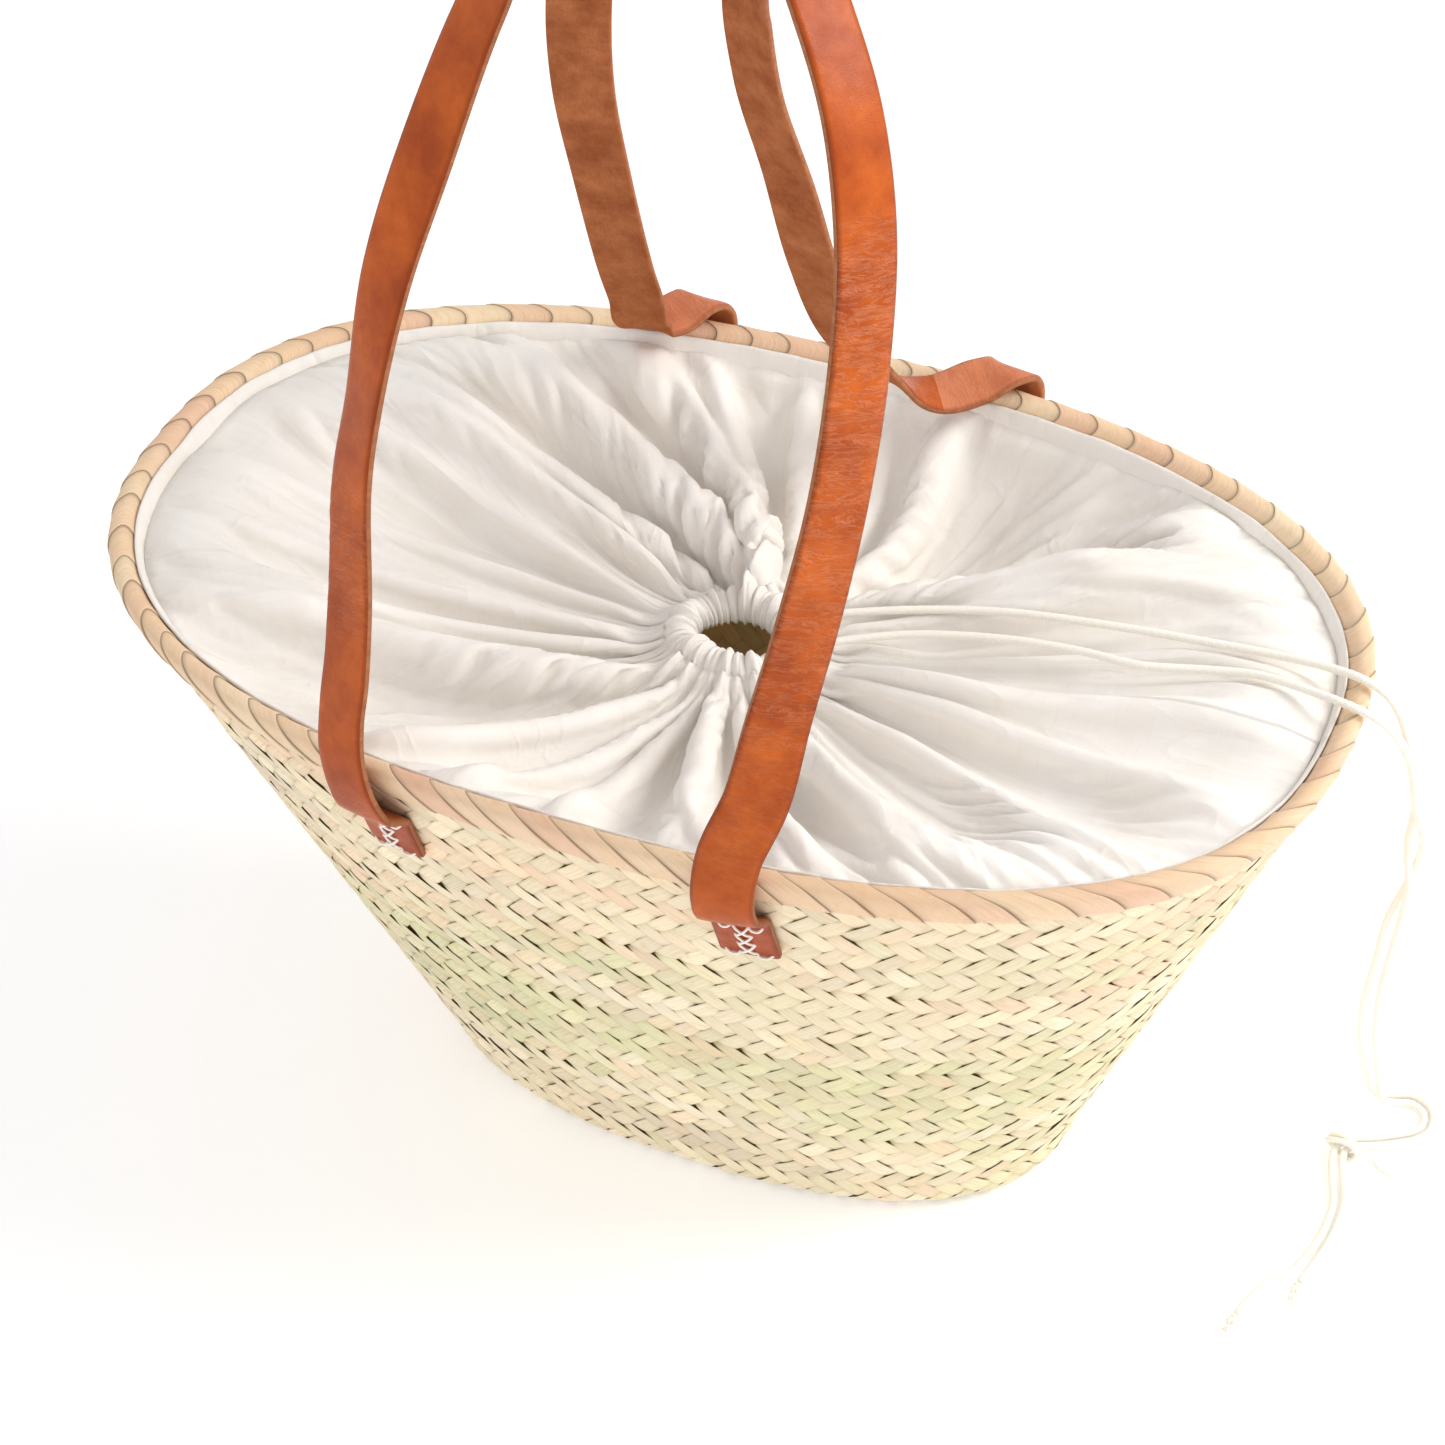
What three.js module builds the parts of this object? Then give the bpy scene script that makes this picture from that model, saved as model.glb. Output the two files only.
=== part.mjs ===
// A market basket of plaited palm leaf with a gathered cotton closure and two leather shoulder straps.
// Millimetres, +Z up. X runs along the mouth, -Y is the front. The origin is under the middle of the base.

import * as THREE from 'three';

// ---------------------------------------------------------------- driving dimensions

const MOUTH_LENGTH = 540;      // outside of the rim, along X
const MOUTH_DEPTH = 312;       // outside of the rim, along Y
const HEIGHT = 291;            // floor to the top of the rim
const BASE_LENGTH = 310;       // outside of the foot of the wall, along X
const BASE_DEPTH = 171;        // outside of the foot of the wall, along Y
const OVAL_POWER = 2.4;        // 2 is an ellipse, more is squarer
const PLAIT = 5;               // thickness of the plaited leaf
const COURSES = 4;             // plaited strips sewn edge to edge, from the base to the rim
const FOOT_ROUND = 14;         // height of the rounded edge between base and wall
const CLEARANCE = 0.3;         // gap between pieces that touch

const RIM_HEIGHT = 18;         // whipped band over the top edge of the wall
const WHIPPING = 2.2;          // thickness of the leaf wound round the rim
const RIM_CROWN = 5;           // whipping above the core
const RIM_CORE = 10;           // height of the bundle inside the whipping
const RIM_SHOULDER = 3;        // the whipping's rounded edge starts this far below its top
const RIM_ROLL = 1.5;          // and has drawn in this much there

const PANEL = 2.5;             // cotton closure, with the bulk of its gathers
const PANEL_BELOW_RIM = 9;     // its edge is sewn this far below the top of the rim
const PANEL_DROP = 25;         // how far the gathered middle hangs below the edge
const HUB = { x: 8, y: -2 };   // middle of the drawstring hole
const CASING_LENGTH = 48;      // drawstring casing, middle of the hem, along X
const CASING_DEPTH = 40;       // drawstring casing, middle of the hem, along Y
const CASING_WIDTH = 11;       // width of the gathered hem
const CASING_HEIGHT = 11;
const CASING_BELOW = 6;        // of that height, below the middle of the gathered hole
const CASING_WALL = 1.6;
const CASING_BEVEL = 3;
const CORD_DIAMETER = 3.5;
const TIE_BAR = 3.2;           // thickness of the turn of cord that ties the strands
const TIE_REACH = { across: 7.7, along: 4.9 };  // half axes of that turn, to its middle line
const END_KNOT = 7.4;          // diameter

const STRAP_WIDTH = 25;
const STRAP = 3.5;             // thickness of the leather
const STRAP_STAND_OFF = 5.8;   // the strap's middle stands this far outside the rim
const SEWN_LENGTH = 30;        // strap end that is sewn flat to the wall
const SEWN_TOP = 23;           // top of the sewn end below the top of the rim
const FOLD_BEND = 8;           // the sewn end leaves the wall this far below its top
const THREAD = 1.2;
const LACING = { reach: 6, rise: 3.9, legs: 6 };  // half width, step per leg, number of legs

const ROUND = 64;              // steps round the mouth
const RIM_TOP = HEIGHT;
const RIM_ROOF = HEIGHT - RIM_CROWN;
const WALL_TOP = RIM_ROOF - RIM_CORE;
const EDGE_INSET = WHIPPING + CLEARANCE;

// ---------------------------------------------------------------- materials

function finish(color, roughness) {
  return new THREE.MeshStandardMaterial({ color, roughness, metalness: 0 });
}
const palm = () => finish(0xe6d6ad, 0.75);
const rimLeaf = () => finish(0xecd0a3, 0.65);
const cotton = () => finish(0xf2ede2, 0.9);
const cordCotton = () => finish(0xf7f3ea, 0.85);
const leather = () => finish(0xb55a2a, 0.45);
const thread = () => finish(0xf4eee6, 0.7);

// ---------------------------------------------------------------- the oval body

// Half axes of the wall's outer face at a height.
function wallAt(z) {
  const share = (z - FOOT_ROUND) / (RIM_ROOF - FOOT_ROUND);
  const topX = MOUTH_LENGTH / 2 - EDGE_INSET;
  const topY = MOUTH_DEPTH / 2 - EDGE_INSET;
  return {
    x: BASE_LENGTH / 2 + (topX - BASE_LENGTH / 2) * share,
    y: BASE_DEPTH / 2 + (topY - BASE_DEPTH / 2) * share,
  };
}

// A point of the oval with the given half axes, at an angle.
function oval(halfX, halfY, angle) {
  const c = Math.cos(angle);
  const s = Math.sin(angle);
  const power = 2 / OVAL_POWER;
  return [
    halfX * Math.sign(c) * Math.abs(c) ** power,
    halfY * Math.sign(s) * Math.abs(s) ** power,
  ];
}

// The front or back face of the wall at x: y, counted outwards.
function wallDepth(x, z) {
  const half = wallAt(z);
  return half.y * (1 - (Math.abs(x) / half.x) ** OVAL_POWER) ** (1 / OVAL_POWER);
}

// A closed ring: a lathe of the profile, whose radius is then read by place() as a
// distance across the section and whose angle goes round the mouth.
function ring(profile, place, steps = ROUND) {
  const points = [...profile, profile[0]].map(([across, z]) => new THREE.Vector2(across, z));
  const geometry = new THREE.LatheGeometry(points, steps);
  const position = geometry.getAttribute('position');
  for (let i = 0; i < position.count; i++) {
    const angle = Math.atan2(position.getX(i), position.getZ(i));
    const across = Math.hypot(position.getX(i), position.getZ(i));
    const z = position.getY(i);
    const [x, y] = place(across, z, angle);
    position.setXYZ(i, x, y, z);
  }
  return geometry;
}

// The profile's radius is the half length of the oval at that height.
function onWall(halfX, z, angle) {
  const half = wallAt(z);
  return oval(halfX, half.y + (halfX - half.x), angle);
}

function plaitedBase() {
  const half = wallAt(FOOT_ROUND);
  const shape = new THREE.Shape();
  for (let i = 0; i < ROUND; i++) {
    const inset = FOOT_ROUND + CLEARANCE;
    const [x, y] = oval(half.x - inset, half.y - inset, (i / ROUND) * 2 * Math.PI);
    if (i === 0) shape.moveTo(x, y);
    else shape.lineTo(x, y);
  }
  shape.closePath();
  return new THREE.ExtrudeGeometry(shape, { depth: PLAIT, bevelEnabled: false });
}

// One plaited strip of the wall. The first one also turns under into the base.
function wallCourse(number) {
  const pitch = WALL_TOP / COURSES;
  const low = number === 0 ? FOOT_ROUND : number * pitch + CLEARANCE;
  const high = (number + 1) * pitch;
  const outer = (z) => wallAt(z).x;
  const profile = [
    [outer(high), high],
    [outer(high) - PLAIT, high],
    [outer(low) - PLAIT, low],
  ];
  if (number === 0) {
    const foot = outer(FOOT_ROUND);
    profile.push([foot - PLAIT - 3, PLAIT + 3]);
    profile.push([foot - FOOT_ROUND, PLAIT]);
    profile.push([foot - FOOT_ROUND, 0]);
    profile.push([foot - FOOT_ROUND * 0.45, FOOT_ROUND * 0.1]);
    profile.push([foot - FOOT_ROUND * 0.14, FOOT_ROUND * 0.45]);
  }
  profile.push([outer(low), low]);
  return ring(profile, onWall);
}

// The bundle of leaf ribs that sits on the wall's top edge, inside the whipping.
function rimCore() {
  const low = WALL_TOP + CLEARANCE;
  const high = RIM_ROOF - CLEARANCE;
  const middle = (low + high) / 2;
  const outer = (z) => wallAt(z).x;
  return ring([
    [outer(high) - 1, high],
    [outer(high) - PLAIT + 1, high],
    [outer(middle) - PLAIT, middle],
    [outer(low) - PLAIT, low],
    [outer(low), low],
    [outer(middle), middle],
  ], onWall);
}

// Leaf wound over the core and the top of the wall: a channel that is open below.
function rimWhipping() {
  const low = RIM_TOP - RIM_HEIGHT;
  const roof = RIM_ROOF;
  const shoulder = RIM_TOP - RIM_SHOULDER;
  const outer = (z) => wallAt(z).x + EDGE_INSET;
  const inner = (z) => wallAt(z).x - PLAIT - EDGE_INSET;
  return ring([
    [outer(low), low],
    [outer(roof), roof],
    [outer(shoulder) - RIM_ROLL, shoulder],
    [(outer(RIM_TOP) + inner(RIM_TOP)) / 2, RIM_TOP],
    [inner(shoulder) + RIM_ROLL, shoulder],
    [inner(roof), roof],
    [inner(low), low],
    [inner(low) + WHIPPING, low],
    [inner(roof) + WHIPPING, roof],
    [outer(roof) - WHIPPING, roof],
    [outer(low) - WHIPPING, low],
  ], onWall);
}

// ---------------------------------------------------------------- the gathered closure

const EDGE_Z = RIM_TOP - PANEL_BELOW_RIM;
const HUB_Z = EDGE_Z - PANEL_DROP;

function hubOval(length, depth, angle) {
  return [
    HUB.x + (length / 2) * Math.cos(angle),
    HUB.y + (depth / 2) * Math.sin(angle),
  ];
}

// Cotton from the rim down to the casing. The radius runs from 1 at the casing to 2 at the rim.
function closurePanel() {
  const levels = [0, 0.15, 0.35, 0.6, 0.8, 1];
  const topZ = (share) => HUB_Z + (EDGE_Z - HUB_Z) * share;
  const profile = [
    ...levels.map((share) => [1 + share, topZ(share) - PANEL]),
    ...levels.toReversed().map((share) => [1 + share, topZ(share)]),
  ];
  const gathered = CASING_WIDTH + 2 * CLEARANCE;
  const half = wallAt(EDGE_Z - PANEL);
  const inset = PLAIT + EDGE_INSET + CLEARANCE;
  return ring(profile, (across, z, angle) => {
    const from = hubOval(CASING_LENGTH + gathered, CASING_DEPTH + gathered, angle);
    const to = oval(half.x - inset, half.y - inset, angle);
    const share = across - 1;
    return [0, 1].map((axis) => from[axis] + (to[axis] - from[axis]) * share);
  });
}

// The profile's radius is counted from the middle line of the hem, plus 100.
const HEM_LINE = 100;
function onHem(across, z, angle) {
  const out = 2 * (across - HEM_LINE);
  return hubOval(CASING_LENGTH + out, CASING_DEPTH + out, angle);
}

// The folded hem that the drawstring runs in: a channel that is open below.
function drawstringCasing() {
  const high = HUB_Z + CASING_HEIGHT - CASING_BELOW;
  const low = high - CASING_HEIGHT;
  const shoulder = high - CASING_BEVEL;
  const outer = HEM_LINE + CASING_WIDTH / 2;
  const inner = HEM_LINE - CASING_WIDTH / 2;
  return ring([
    [outer, low],
    [outer, shoulder],
    [outer - CASING_BEVEL, high],
    [inner + CASING_BEVEL, high],
    [inner, shoulder],
    [inner, low],
    [inner + CASING_WALL, low],
    [inner + CASING_WALL, shoulder],
    [outer - CASING_WALL, shoulder],
    [outer - CASING_WALL, low],
  ], onHem, ROUND / 2);
}

function circle(radius, sides) {
  return Array.from({ length: sides }, (_, i) => {
    const angle = (i / sides) * 2 * Math.PI;
    return [radius * Math.cos(angle), radius * Math.sin(angle)];
  });
}

function drawstringLoop() {
  const middle = HUB_Z - 1;    // clear of the roof of the casing
  const section = circle(CORD_DIAMETER / 2, 8).map(([across, up]) => [HEM_LINE + across, middle + up]);
  return ring(section, onHem, ROUND / 2);
}

// ---------------------------------------------------------------- the free drawstring

// Each strand runs from the casing over the closure and the rim, hangs down and lies on the floor.
const STRAND_A = [
  [31, 18, 259.5], [38, 21.5, 261], [48, 25, 262.5], [77, 33, 266.5], [110, 38.5, 271], [154, 39, 277.5],
  [198, 37, 284], [230, 35, 288.5], [250, 31.5, 292], [264, 27.5, 294.2], [274, 25.5, 291.5],
  [280, 25.5, 283], [285, 27.5, 262], [288.5, 31.8, 234], [286.2, 32.4, 206], [288.1, 32.5, 180],
  [285.1, 36.3, 155], [281.4, 37.4, 128], [278.2, 39.7, 100], [277, 43.5, 70], [277.5, 50, 42],
  [278, 56.5, 19], [279.3, 61, 8], [283.2, 66.3, 2.6], [289.9, 68.4, 2.2], [296.2, 64.9, 2.2],
  [297.8, 57.7, 2.2], [294.9, 52.8, 2.2], [287.5, 47.6, 2.2], [279.5, 42.2, 3.2], [271.4, 36.7, 5],
  [267.2, 30.1, 6.5], [267.6, 22.2, 4.8], [270.2, 14.4, 2.8], [274.7, 2, 2.2], [275.5, -14, 2.2],
  [273, -30, 2.2], [269, -41, 2.2], [262.5, -49, 2.2], [258, -59, 2.2], [255.5, -71.2, 3.6],
];
const STRAND_B = [
  [37.5, 3, 259.5], [45, 5, 261.5], [55, 9, 263.5], [79, 17, 267], [117, 22, 272.5], [150, 21.5, 277],
  [176, 18, 281], [204, 21, 285], [224, 21.5, 288.5], [246, 16.5, 292], [264.5, 11.5, 294.2],
  [275, 11, 291.5], [281.5, 14, 283], [287, 21, 262], [289.5, 26.2, 234], [291.9, 33.6, 206],
  [286.9, 38, 180], [279.9, 35.3, 155], [276.6, 34.6, 128], [272.6, 36.3, 100], [271.3, 40.5, 70],
  [272, 48, 42], [273, 57.5, 19], [275, 64.2, 8], [280.4, 70, 2.6], [290.3, 73, 2.2],
  [299.6, 67.6, 2.2], [302.1, 56.9, 2.2], [297.6, 49.4, 2.2], [290, 44.1, 2.2], [282, 38.7, 3.2],
  [274.3, 33.4, 5], [271.5, 28.7, 6.5], [271.9, 23.4, 4.8], [274.6, 16, 2.8], [279.2, 3, 2.2],
  [280, -14, 2.2], [277.8, -30, 2.2], [274.9, -45.2, 3.6],
];
const TIE = { x: 269.6, y: 29.4, z: 6.7, turn: -15 };
const KNOT_A = { x: 255, y: -75.2, z: 4 };
const KNOT_B = { x: 274.8, y: -49.2, z: 4 };

function tube(points, diameter, sides, steps) {
  const section = new THREE.Shape(circle(diameter / 2, sides).map(([x, y]) => new THREE.Vector2(x, y)));
  const stations = points.map((p) => new THREE.Vector3(...p));
  const path = new THREE.CatmullRomCurve3(stations, false, 'centripetal');
  return new THREE.ExtrudeGeometry(section, { steps, bevelEnabled: false, extrudePath: path });
}

// One turn of cord that ties both strands together.
function tieKnot() {
  const section = circle(TIE_BAR / 2, 8).map(([across, up]) => [HEM_LINE + across, up]);
  const geometry = ring(section, (across, z, angle) => {
    const out = across - HEM_LINE;
    return [(TIE_REACH.across + out) * Math.cos(angle), (TIE_REACH.along + out) * Math.sin(angle)];
  }, 20);
  return geometry.rotateX(Math.PI / 2);
}

function endKnot() {
  const radius = END_KNOT / 2;
  const points = [];
  for (let i = 0; i <= 8; i++) {
    const angle = (i / 8) * Math.PI - Math.PI / 2;
    points.push(new THREE.Vector2(i % 8 ? radius * Math.cos(angle) : 0, radius * Math.sin(angle)));
  }
  return new THREE.LatheGeometry(points, 12);
}

// ---------------------------------------------------------------- straps

// A path for a flat strap. Each row is [x, y, z, facing x, y, z]: the way the grain side faces.
class StrapPath extends THREE.CatmullRomCurve3 {
  constructor(rows) {
    super(rows.map((row) => new THREE.Vector3(row[0], row[1], row[2])), false, 'centripetal');
    const facings = rows.map((row) => new THREE.Vector3(row[3], row[4], row[5]));
    this.facing = new THREE.CatmullRomCurve3(facings, false, 'catmullrom');
  }

  computeFrenetFrames(segments) {
    const frames = { tangents: [], normals: [], binormals: [] };
    for (let i = 0; i <= segments; i++) {
      const u = i / segments;
      const tangent = this.getTangentAt(u);
      const normal = this.facing.getPoint(this.getUtoTmapping(u));
      normal.addScaledVector(tangent, -normal.dot(tangent)).normalize();
      frames.tangents.push(tangent);
      frames.normals.push(normal);
      frames.binormals.push(new THREE.Vector3().crossVectors(tangent, normal));
    }
    return frames;
  }
}

// Strap feet: x of the middle of each sewn end.
const FRONT_FEET = [-82, 75];
const BACK_FEET = [-78, 69];
const FOLD = SEWN_TOP - 2;     // the strap turns up from the sewn end here, below the rim's top
const RIM_FACE = wallDepth(FRONT_FEET[0], RIM_ROOF) + EDGE_INSET;
const OUTSIDE = RIM_FACE + STRAP_STAND_OFF;

// Rows are [x, distance inwards from outside the rim, height above the rim's top, then the way the
// grain faces: x, outwards, up]. side is -1 at the front and 1 at the back.
function placed(rows, side) {
  return rows.map(([x, inwards, up, faceX, faceOut, faceUp]) => [
    x, side * (OUTSIDE - inwards), RIM_TOP + up, faceX, side * faceOut, faceUp,
  ]);
}

const FRONT_STRAP = [
  [FRONT_FEET[0] - 1, 1.5, -FOLD, -0.2, 1, 0],
  [FRONT_FEET[0] - 3.5, -0.5, -9, -0.25, 1, 0],
  [-88.5, 2, 8, -0.3, 1, 0.1],
  [-89, 8, 25, -0.4, 1, 0.3],
  [-87, 14, 44, -0.4, 1, 0.3],
  [-87, 25, 71, -0.45, 1, 0.4],
  [-89, 43, 114, -0.6, 1, 0.4],
  [-86, 55, 143, -0.7, 1, 0.4],
  [-80, 74, 188, -0.4, 1, 0.4],
  [-67, 93, 233, -0.3, 1, 0.4],
  [-47, 117, 289, -0.5, 0.9, 0.5],
  [-29, 129, 320, -0.7, 0.5, 0.8],
  [-3, 139, 343, -0.3, 0, 1],
  [24, 143, 352, 0.1, -0.3, 1],
  [48, 140, 346, 0.5, 0, 1],
  [65, 134, 330, 0.9, 0.3, 0.6],
  [80, 124, 306, 1, 0.4, 0.3],
  [95, 111, 276, 1, 0.5, 0.2],
  [105, 95, 238, 1, 0.6, 0.2],
  [108, 77, 195, 1, 0.65, 0.2],
  [106, 59, 151, 1, 0.7, 0.2],
  [100, 40, 107, 0.9, 0.8, 0.2],
  [92, 24, 66, 0.7, 0.9, 0.2],
  [87, 12, 37, 0.4, 1, 0.2],
  [78, 3, 12, 0.15, 1, 0.1],
  [FRONT_FEET[1], -0.5, -9, 0.12, 1, 0],
  [FRONT_FEET[1], 1.5, -FOLD, 0.12, 1, 0],
];

// The back strap rolls inwards over the rim before it rises, so its flesh side faces the front.
const BACK_STRAP = [
  [BACK_FEET[0], 1.5, -FOLD, -0.1, 1, 0],
  [BACK_FEET[0], -0.5, -9, -0.1, 1, 0.1],
  [BACK_FEET[0], 0, 2, 0, 1, 0.5],
  [BACK_FEET[0] - 2, 5.5, 8.5, 0, 0.3, 1],
  [BACK_FEET[0] - 8, 15, 7, 0, -0.2, 1],
  [BACK_FEET[0] - 15, 25, 5.5, -0.1, 0.3, 1],
  [-94.5, 33, 13, -0.2, 1, 0.4],
  [-92, 39, 29, -0.2, 1, 0.1],
  [-90, 49, 55, -0.2, 1, 0.1],
  [-82, 73, 119, -0.2, 1, 0.1],
  [-73, 95, 179, -0.3, 1, 0.1],
  [-58, 116, 235, -0.4, 1, 0.2],
  [-44, 129, 272, -0.7, 0.8, 0.4],
  [-26, 140, 305, -0.7, 0.3, 0.8],
  [-2, 146, 322, -0.1, 0, 1],
  [17, 145, 317, 0.6, 0, 1],
  [27, 137, 296, 1, 0.4, 0.3],
  [23, 129, 272, 0.8, 0.8, 0],
  [16, 122, 252, 0.4, 1, 0],
  [9, 104, 202, 0.3, 1, 0],
  [8, 83, 147, 0.2, 1, 0.1],
  [6, 61, 87, 0.1, 1, 0.1],
  [10, 44, 40, 0.1, 1, 0.2],
  [24, 35, 16, 0.2, 0.8, 0.7],
  [41, 27, 5, 0.1, 0.1, 1],
  [57, 15, 7, 0, -0.2, 1],
  [67, 5.5, 8.5, 0, 0.3, 1],
  [BACK_FEET[1], 0, 2, 0.1, 1, 0.5],
  [BACK_FEET[1], -0.5, -9, 0.1, 1, 0.1],
  [BACK_FEET[1], 1.5, -FOLD, 0.1, 1, 0],
];

// The way the wall faces at a strap's foot, and a sewn end that lies on it, then bends out
// under the rim towards the fold of the strap.
function wallFacing(x, z) {
  const turn = (wallDepth(x - 5, z) - wallDepth(x + 5, z)) / 10;
  const slope = (wallDepth(x, z + 5) - wallDepth(x, z - 5)) / 10;
  return { turn, slope };
}

const SEAT = 3 * CLEARANCE;    // gap between the sewn end and the uneven plait

function sewnEndRows(x) {
  const top = -SEWN_TOP - FOLD_BEND;
  const bottom = top - SEWN_LENGTH + 5;
  const onPlait = (up) => OUTSIDE - wallDepth(x, RIM_TOP + up) - SEAT - STRAP / 2;
  const { turn, slope } = wallFacing(x, RIM_TOP + top);
  const flat = [0, 0.4, 0.75, 1].map((share) => bottom + (top - bottom) * share);
  return [
    ...flat.map((up) => [x, onPlait(up), up, turn, 1, -slope]),
    [x, (onPlait(top) + 6) / 2 + 0.6, top + 2.4, turn, 1, -1],
    [x, 6, top + 3.6, turn, 0.6, -1],
  ];
}

function strap(rows, steps) {
  const section = new THREE.Shape();
  section.moveTo(-STRAP / 2, -STRAP_WIDTH / 2);
  section.lineTo(STRAP / 2, -STRAP_WIDTH / 2);
  section.lineTo(STRAP / 2, STRAP_WIDTH / 2);
  section.lineTo(-STRAP / 2, STRAP_WIDTH / 2);
  section.closePath();
  const path = new StrapPath(rows);
  return new THREE.ExtrudeGeometry(section, { steps, bevelEnabled: false, extrudePath: path });
}

// Waxed thread laced to and fro over the sewn end.
function lacing() {
  const points = [];
  for (let i = 0; i <= LACING.legs; i++) {
    points.push([i % 2 ? LACING.reach : -LACING.reach, (LACING.legs / 2 - i) * LACING.rise, 0]);
  }
  return tube(points, THREAD, 6, 30);
}

// ---------------------------------------------------------------- assembly

const basket = new THREE.Group();

function add(parent, name, geometry, material) {
  const mesh = new THREE.Mesh(geometry, material);
  mesh.name = name;
  parent.add(mesh);
  return mesh;
}

add(basket, 'base_plait', plaitedBase(), palm());
for (let i = 0; i < COURSES; i++) add(basket, `wall_plait_${i + 1}`, wallCourse(i), palm());
add(basket, 'rim_core', rimCore(), palm());
add(basket, 'rim_whipping', rimWhipping(), rimLeaf());

add(basket, 'closure_panel', closurePanel(), cotton());
add(basket, 'drawstring_casing', drawstringCasing(), cotton());
add(basket, 'drawstring_loop', drawstringLoop(), cordCotton());

add(basket, 'drawstring_strand_a', tube(STRAND_A, CORD_DIAMETER, 8, 80), cordCotton());
add(basket, 'drawstring_strand_b', tube(STRAND_B, CORD_DIAMETER, 8, 80), cordCotton());
const tie = add(basket, 'drawstring_tie_knot', tieKnot(), cordCotton());
tie.position.set(TIE.x, TIE.y, TIE.z);
tie.rotation.z = THREE.MathUtils.degToRad(TIE.turn);
for (const [letter, at] of [['a', KNOT_A], ['b', KNOT_B]]) {
  const knot = add(basket, `drawstring_end_knot_${letter}`, endKnot(), cordCotton());
  knot.position.set(at.x, at.y, at.z);
}

// The lacing lies flat over the sewn end, which follows the slope of the wall and the turn of the oval.
function sewnEnd(side, x, name) {
  add(basket, `${name}_strap_end`, strap(placed(sewnEndRows(x), side), 10), leather());
  const z = RIM_TOP - SEWN_TOP - SEWN_LENGTH / 2 - FOLD_BEND / 2;
  const { turn, slope } = wallFacing(x, z);
  const outwards = new THREE.Vector3(turn, side, -slope).normalize();
  const up = new THREE.Vector3(0, side * slope, 1);
  up.addScaledVector(outwards, -up.dot(outwards)).normalize();
  const across = new THREE.Vector3().crossVectors(up, outwards);
  const stitches = add(basket, `${name}_lacing`, lacing(), thread());
  stitches.quaternion.setFromRotationMatrix(new THREE.Matrix4().makeBasis(across, up, outwards));
  stitches.position.set(x, side * wallDepth(x, z), z);
  stitches.position.addScaledVector(outwards, SEAT + STRAP + THREAD / 2 + 2 * CLEARANCE);
}
sewnEnd(-1, FRONT_FEET[0], 'front_left');
sewnEnd(-1, FRONT_FEET[1], 'front_right');
sewnEnd(1, BACK_FEET[0], 'back_left');
sewnEnd(1, BACK_FEET[1], 'back_right');

add(basket, 'front_strap', strap(placed(FRONT_STRAP, -1), 70), leather());
add(basket, 'back_strap', strap(placed(BACK_STRAP, 1), 84), leather());

export default basket;
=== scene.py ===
"""Looks of the woven palm-leaf market basket. Metres, +Z up, X along the mouth, -Y is the front."""

import math

import bpy
import numpy as np
from mathutils import Matrix, Vector, noise


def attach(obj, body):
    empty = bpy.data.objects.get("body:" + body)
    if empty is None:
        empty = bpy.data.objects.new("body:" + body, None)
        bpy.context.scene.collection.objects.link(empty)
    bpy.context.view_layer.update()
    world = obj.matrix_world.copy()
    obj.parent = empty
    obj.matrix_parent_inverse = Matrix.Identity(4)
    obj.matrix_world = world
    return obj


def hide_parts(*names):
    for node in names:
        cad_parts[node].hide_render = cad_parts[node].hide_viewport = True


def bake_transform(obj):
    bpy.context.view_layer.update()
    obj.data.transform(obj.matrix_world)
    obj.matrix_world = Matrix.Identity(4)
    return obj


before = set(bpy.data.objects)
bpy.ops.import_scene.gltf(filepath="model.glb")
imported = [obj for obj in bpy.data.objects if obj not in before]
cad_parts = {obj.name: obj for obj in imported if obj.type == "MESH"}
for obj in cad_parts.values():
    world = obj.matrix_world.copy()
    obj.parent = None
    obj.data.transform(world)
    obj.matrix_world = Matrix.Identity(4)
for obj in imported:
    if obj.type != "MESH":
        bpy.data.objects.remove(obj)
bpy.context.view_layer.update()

# ---------------------------------------------------------------- sizes, in millimetres as in the CAD

MM = 0.001
MOUTH_LENGTH, MOUTH_DEPTH, HEIGHT = 540, 312, 291
BASE_LENGTH, BASE_DEPTH = 310, 171
OVAL_POWER = 2.4
PLAIT = 5
COURSES = 4
COURSE_ROWS = 6
FOOT_ROUND = 14        # radius of the edge between base and wall
FOOT_ARC = 22.0        # length of that rounded edge
RIM_HEIGHT = 18
RIM_ROOF = HEIGHT - 5  # up to here the body leans outwards evenly
WALL_TOP = RIM_ROOF - 10
EDGE_INSET = 2.5       # from the rim's outer face to the wall's
HUB = (8, -2)          # middle of the gathered hole
HUB_Z = 257
CASING_LENGTH, CASING_DEPTH = 48, 40
CORD_DIAMETER = 3.5
STRAP_WIDTH = 25
STRAP = 3.5
SEWN_TOP = 23          # from the rim's top down to the foot of the fold
SEWN_LENGTH = 30
SEWN_BENT = 5          # the part of a sewn end that already bends
FOLD = SEWN_TOP - 2
FOLD_BEND = 8
SEAT = 0.9             # room for the leaves behind a sewn end
LEAF_PITCH = 11.6      # from one leaf to the next along a row of the plait
FLOOR_GAP = 0.25       # no leaf lies lower

random = np.random.default_rng(7)


# ---------------------------------------------------------------- camera

CAMERA_TURN = (29.1, 44.0, -5.9)              # azimuth, elevation and roll in degrees
CAMERA_TARGET = (-0.03188, 0.04818, 0.150)
CAMERA_DISTANCE = 1.57268
LENS, SENSOR_WIDTH = 87.16, 36


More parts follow.
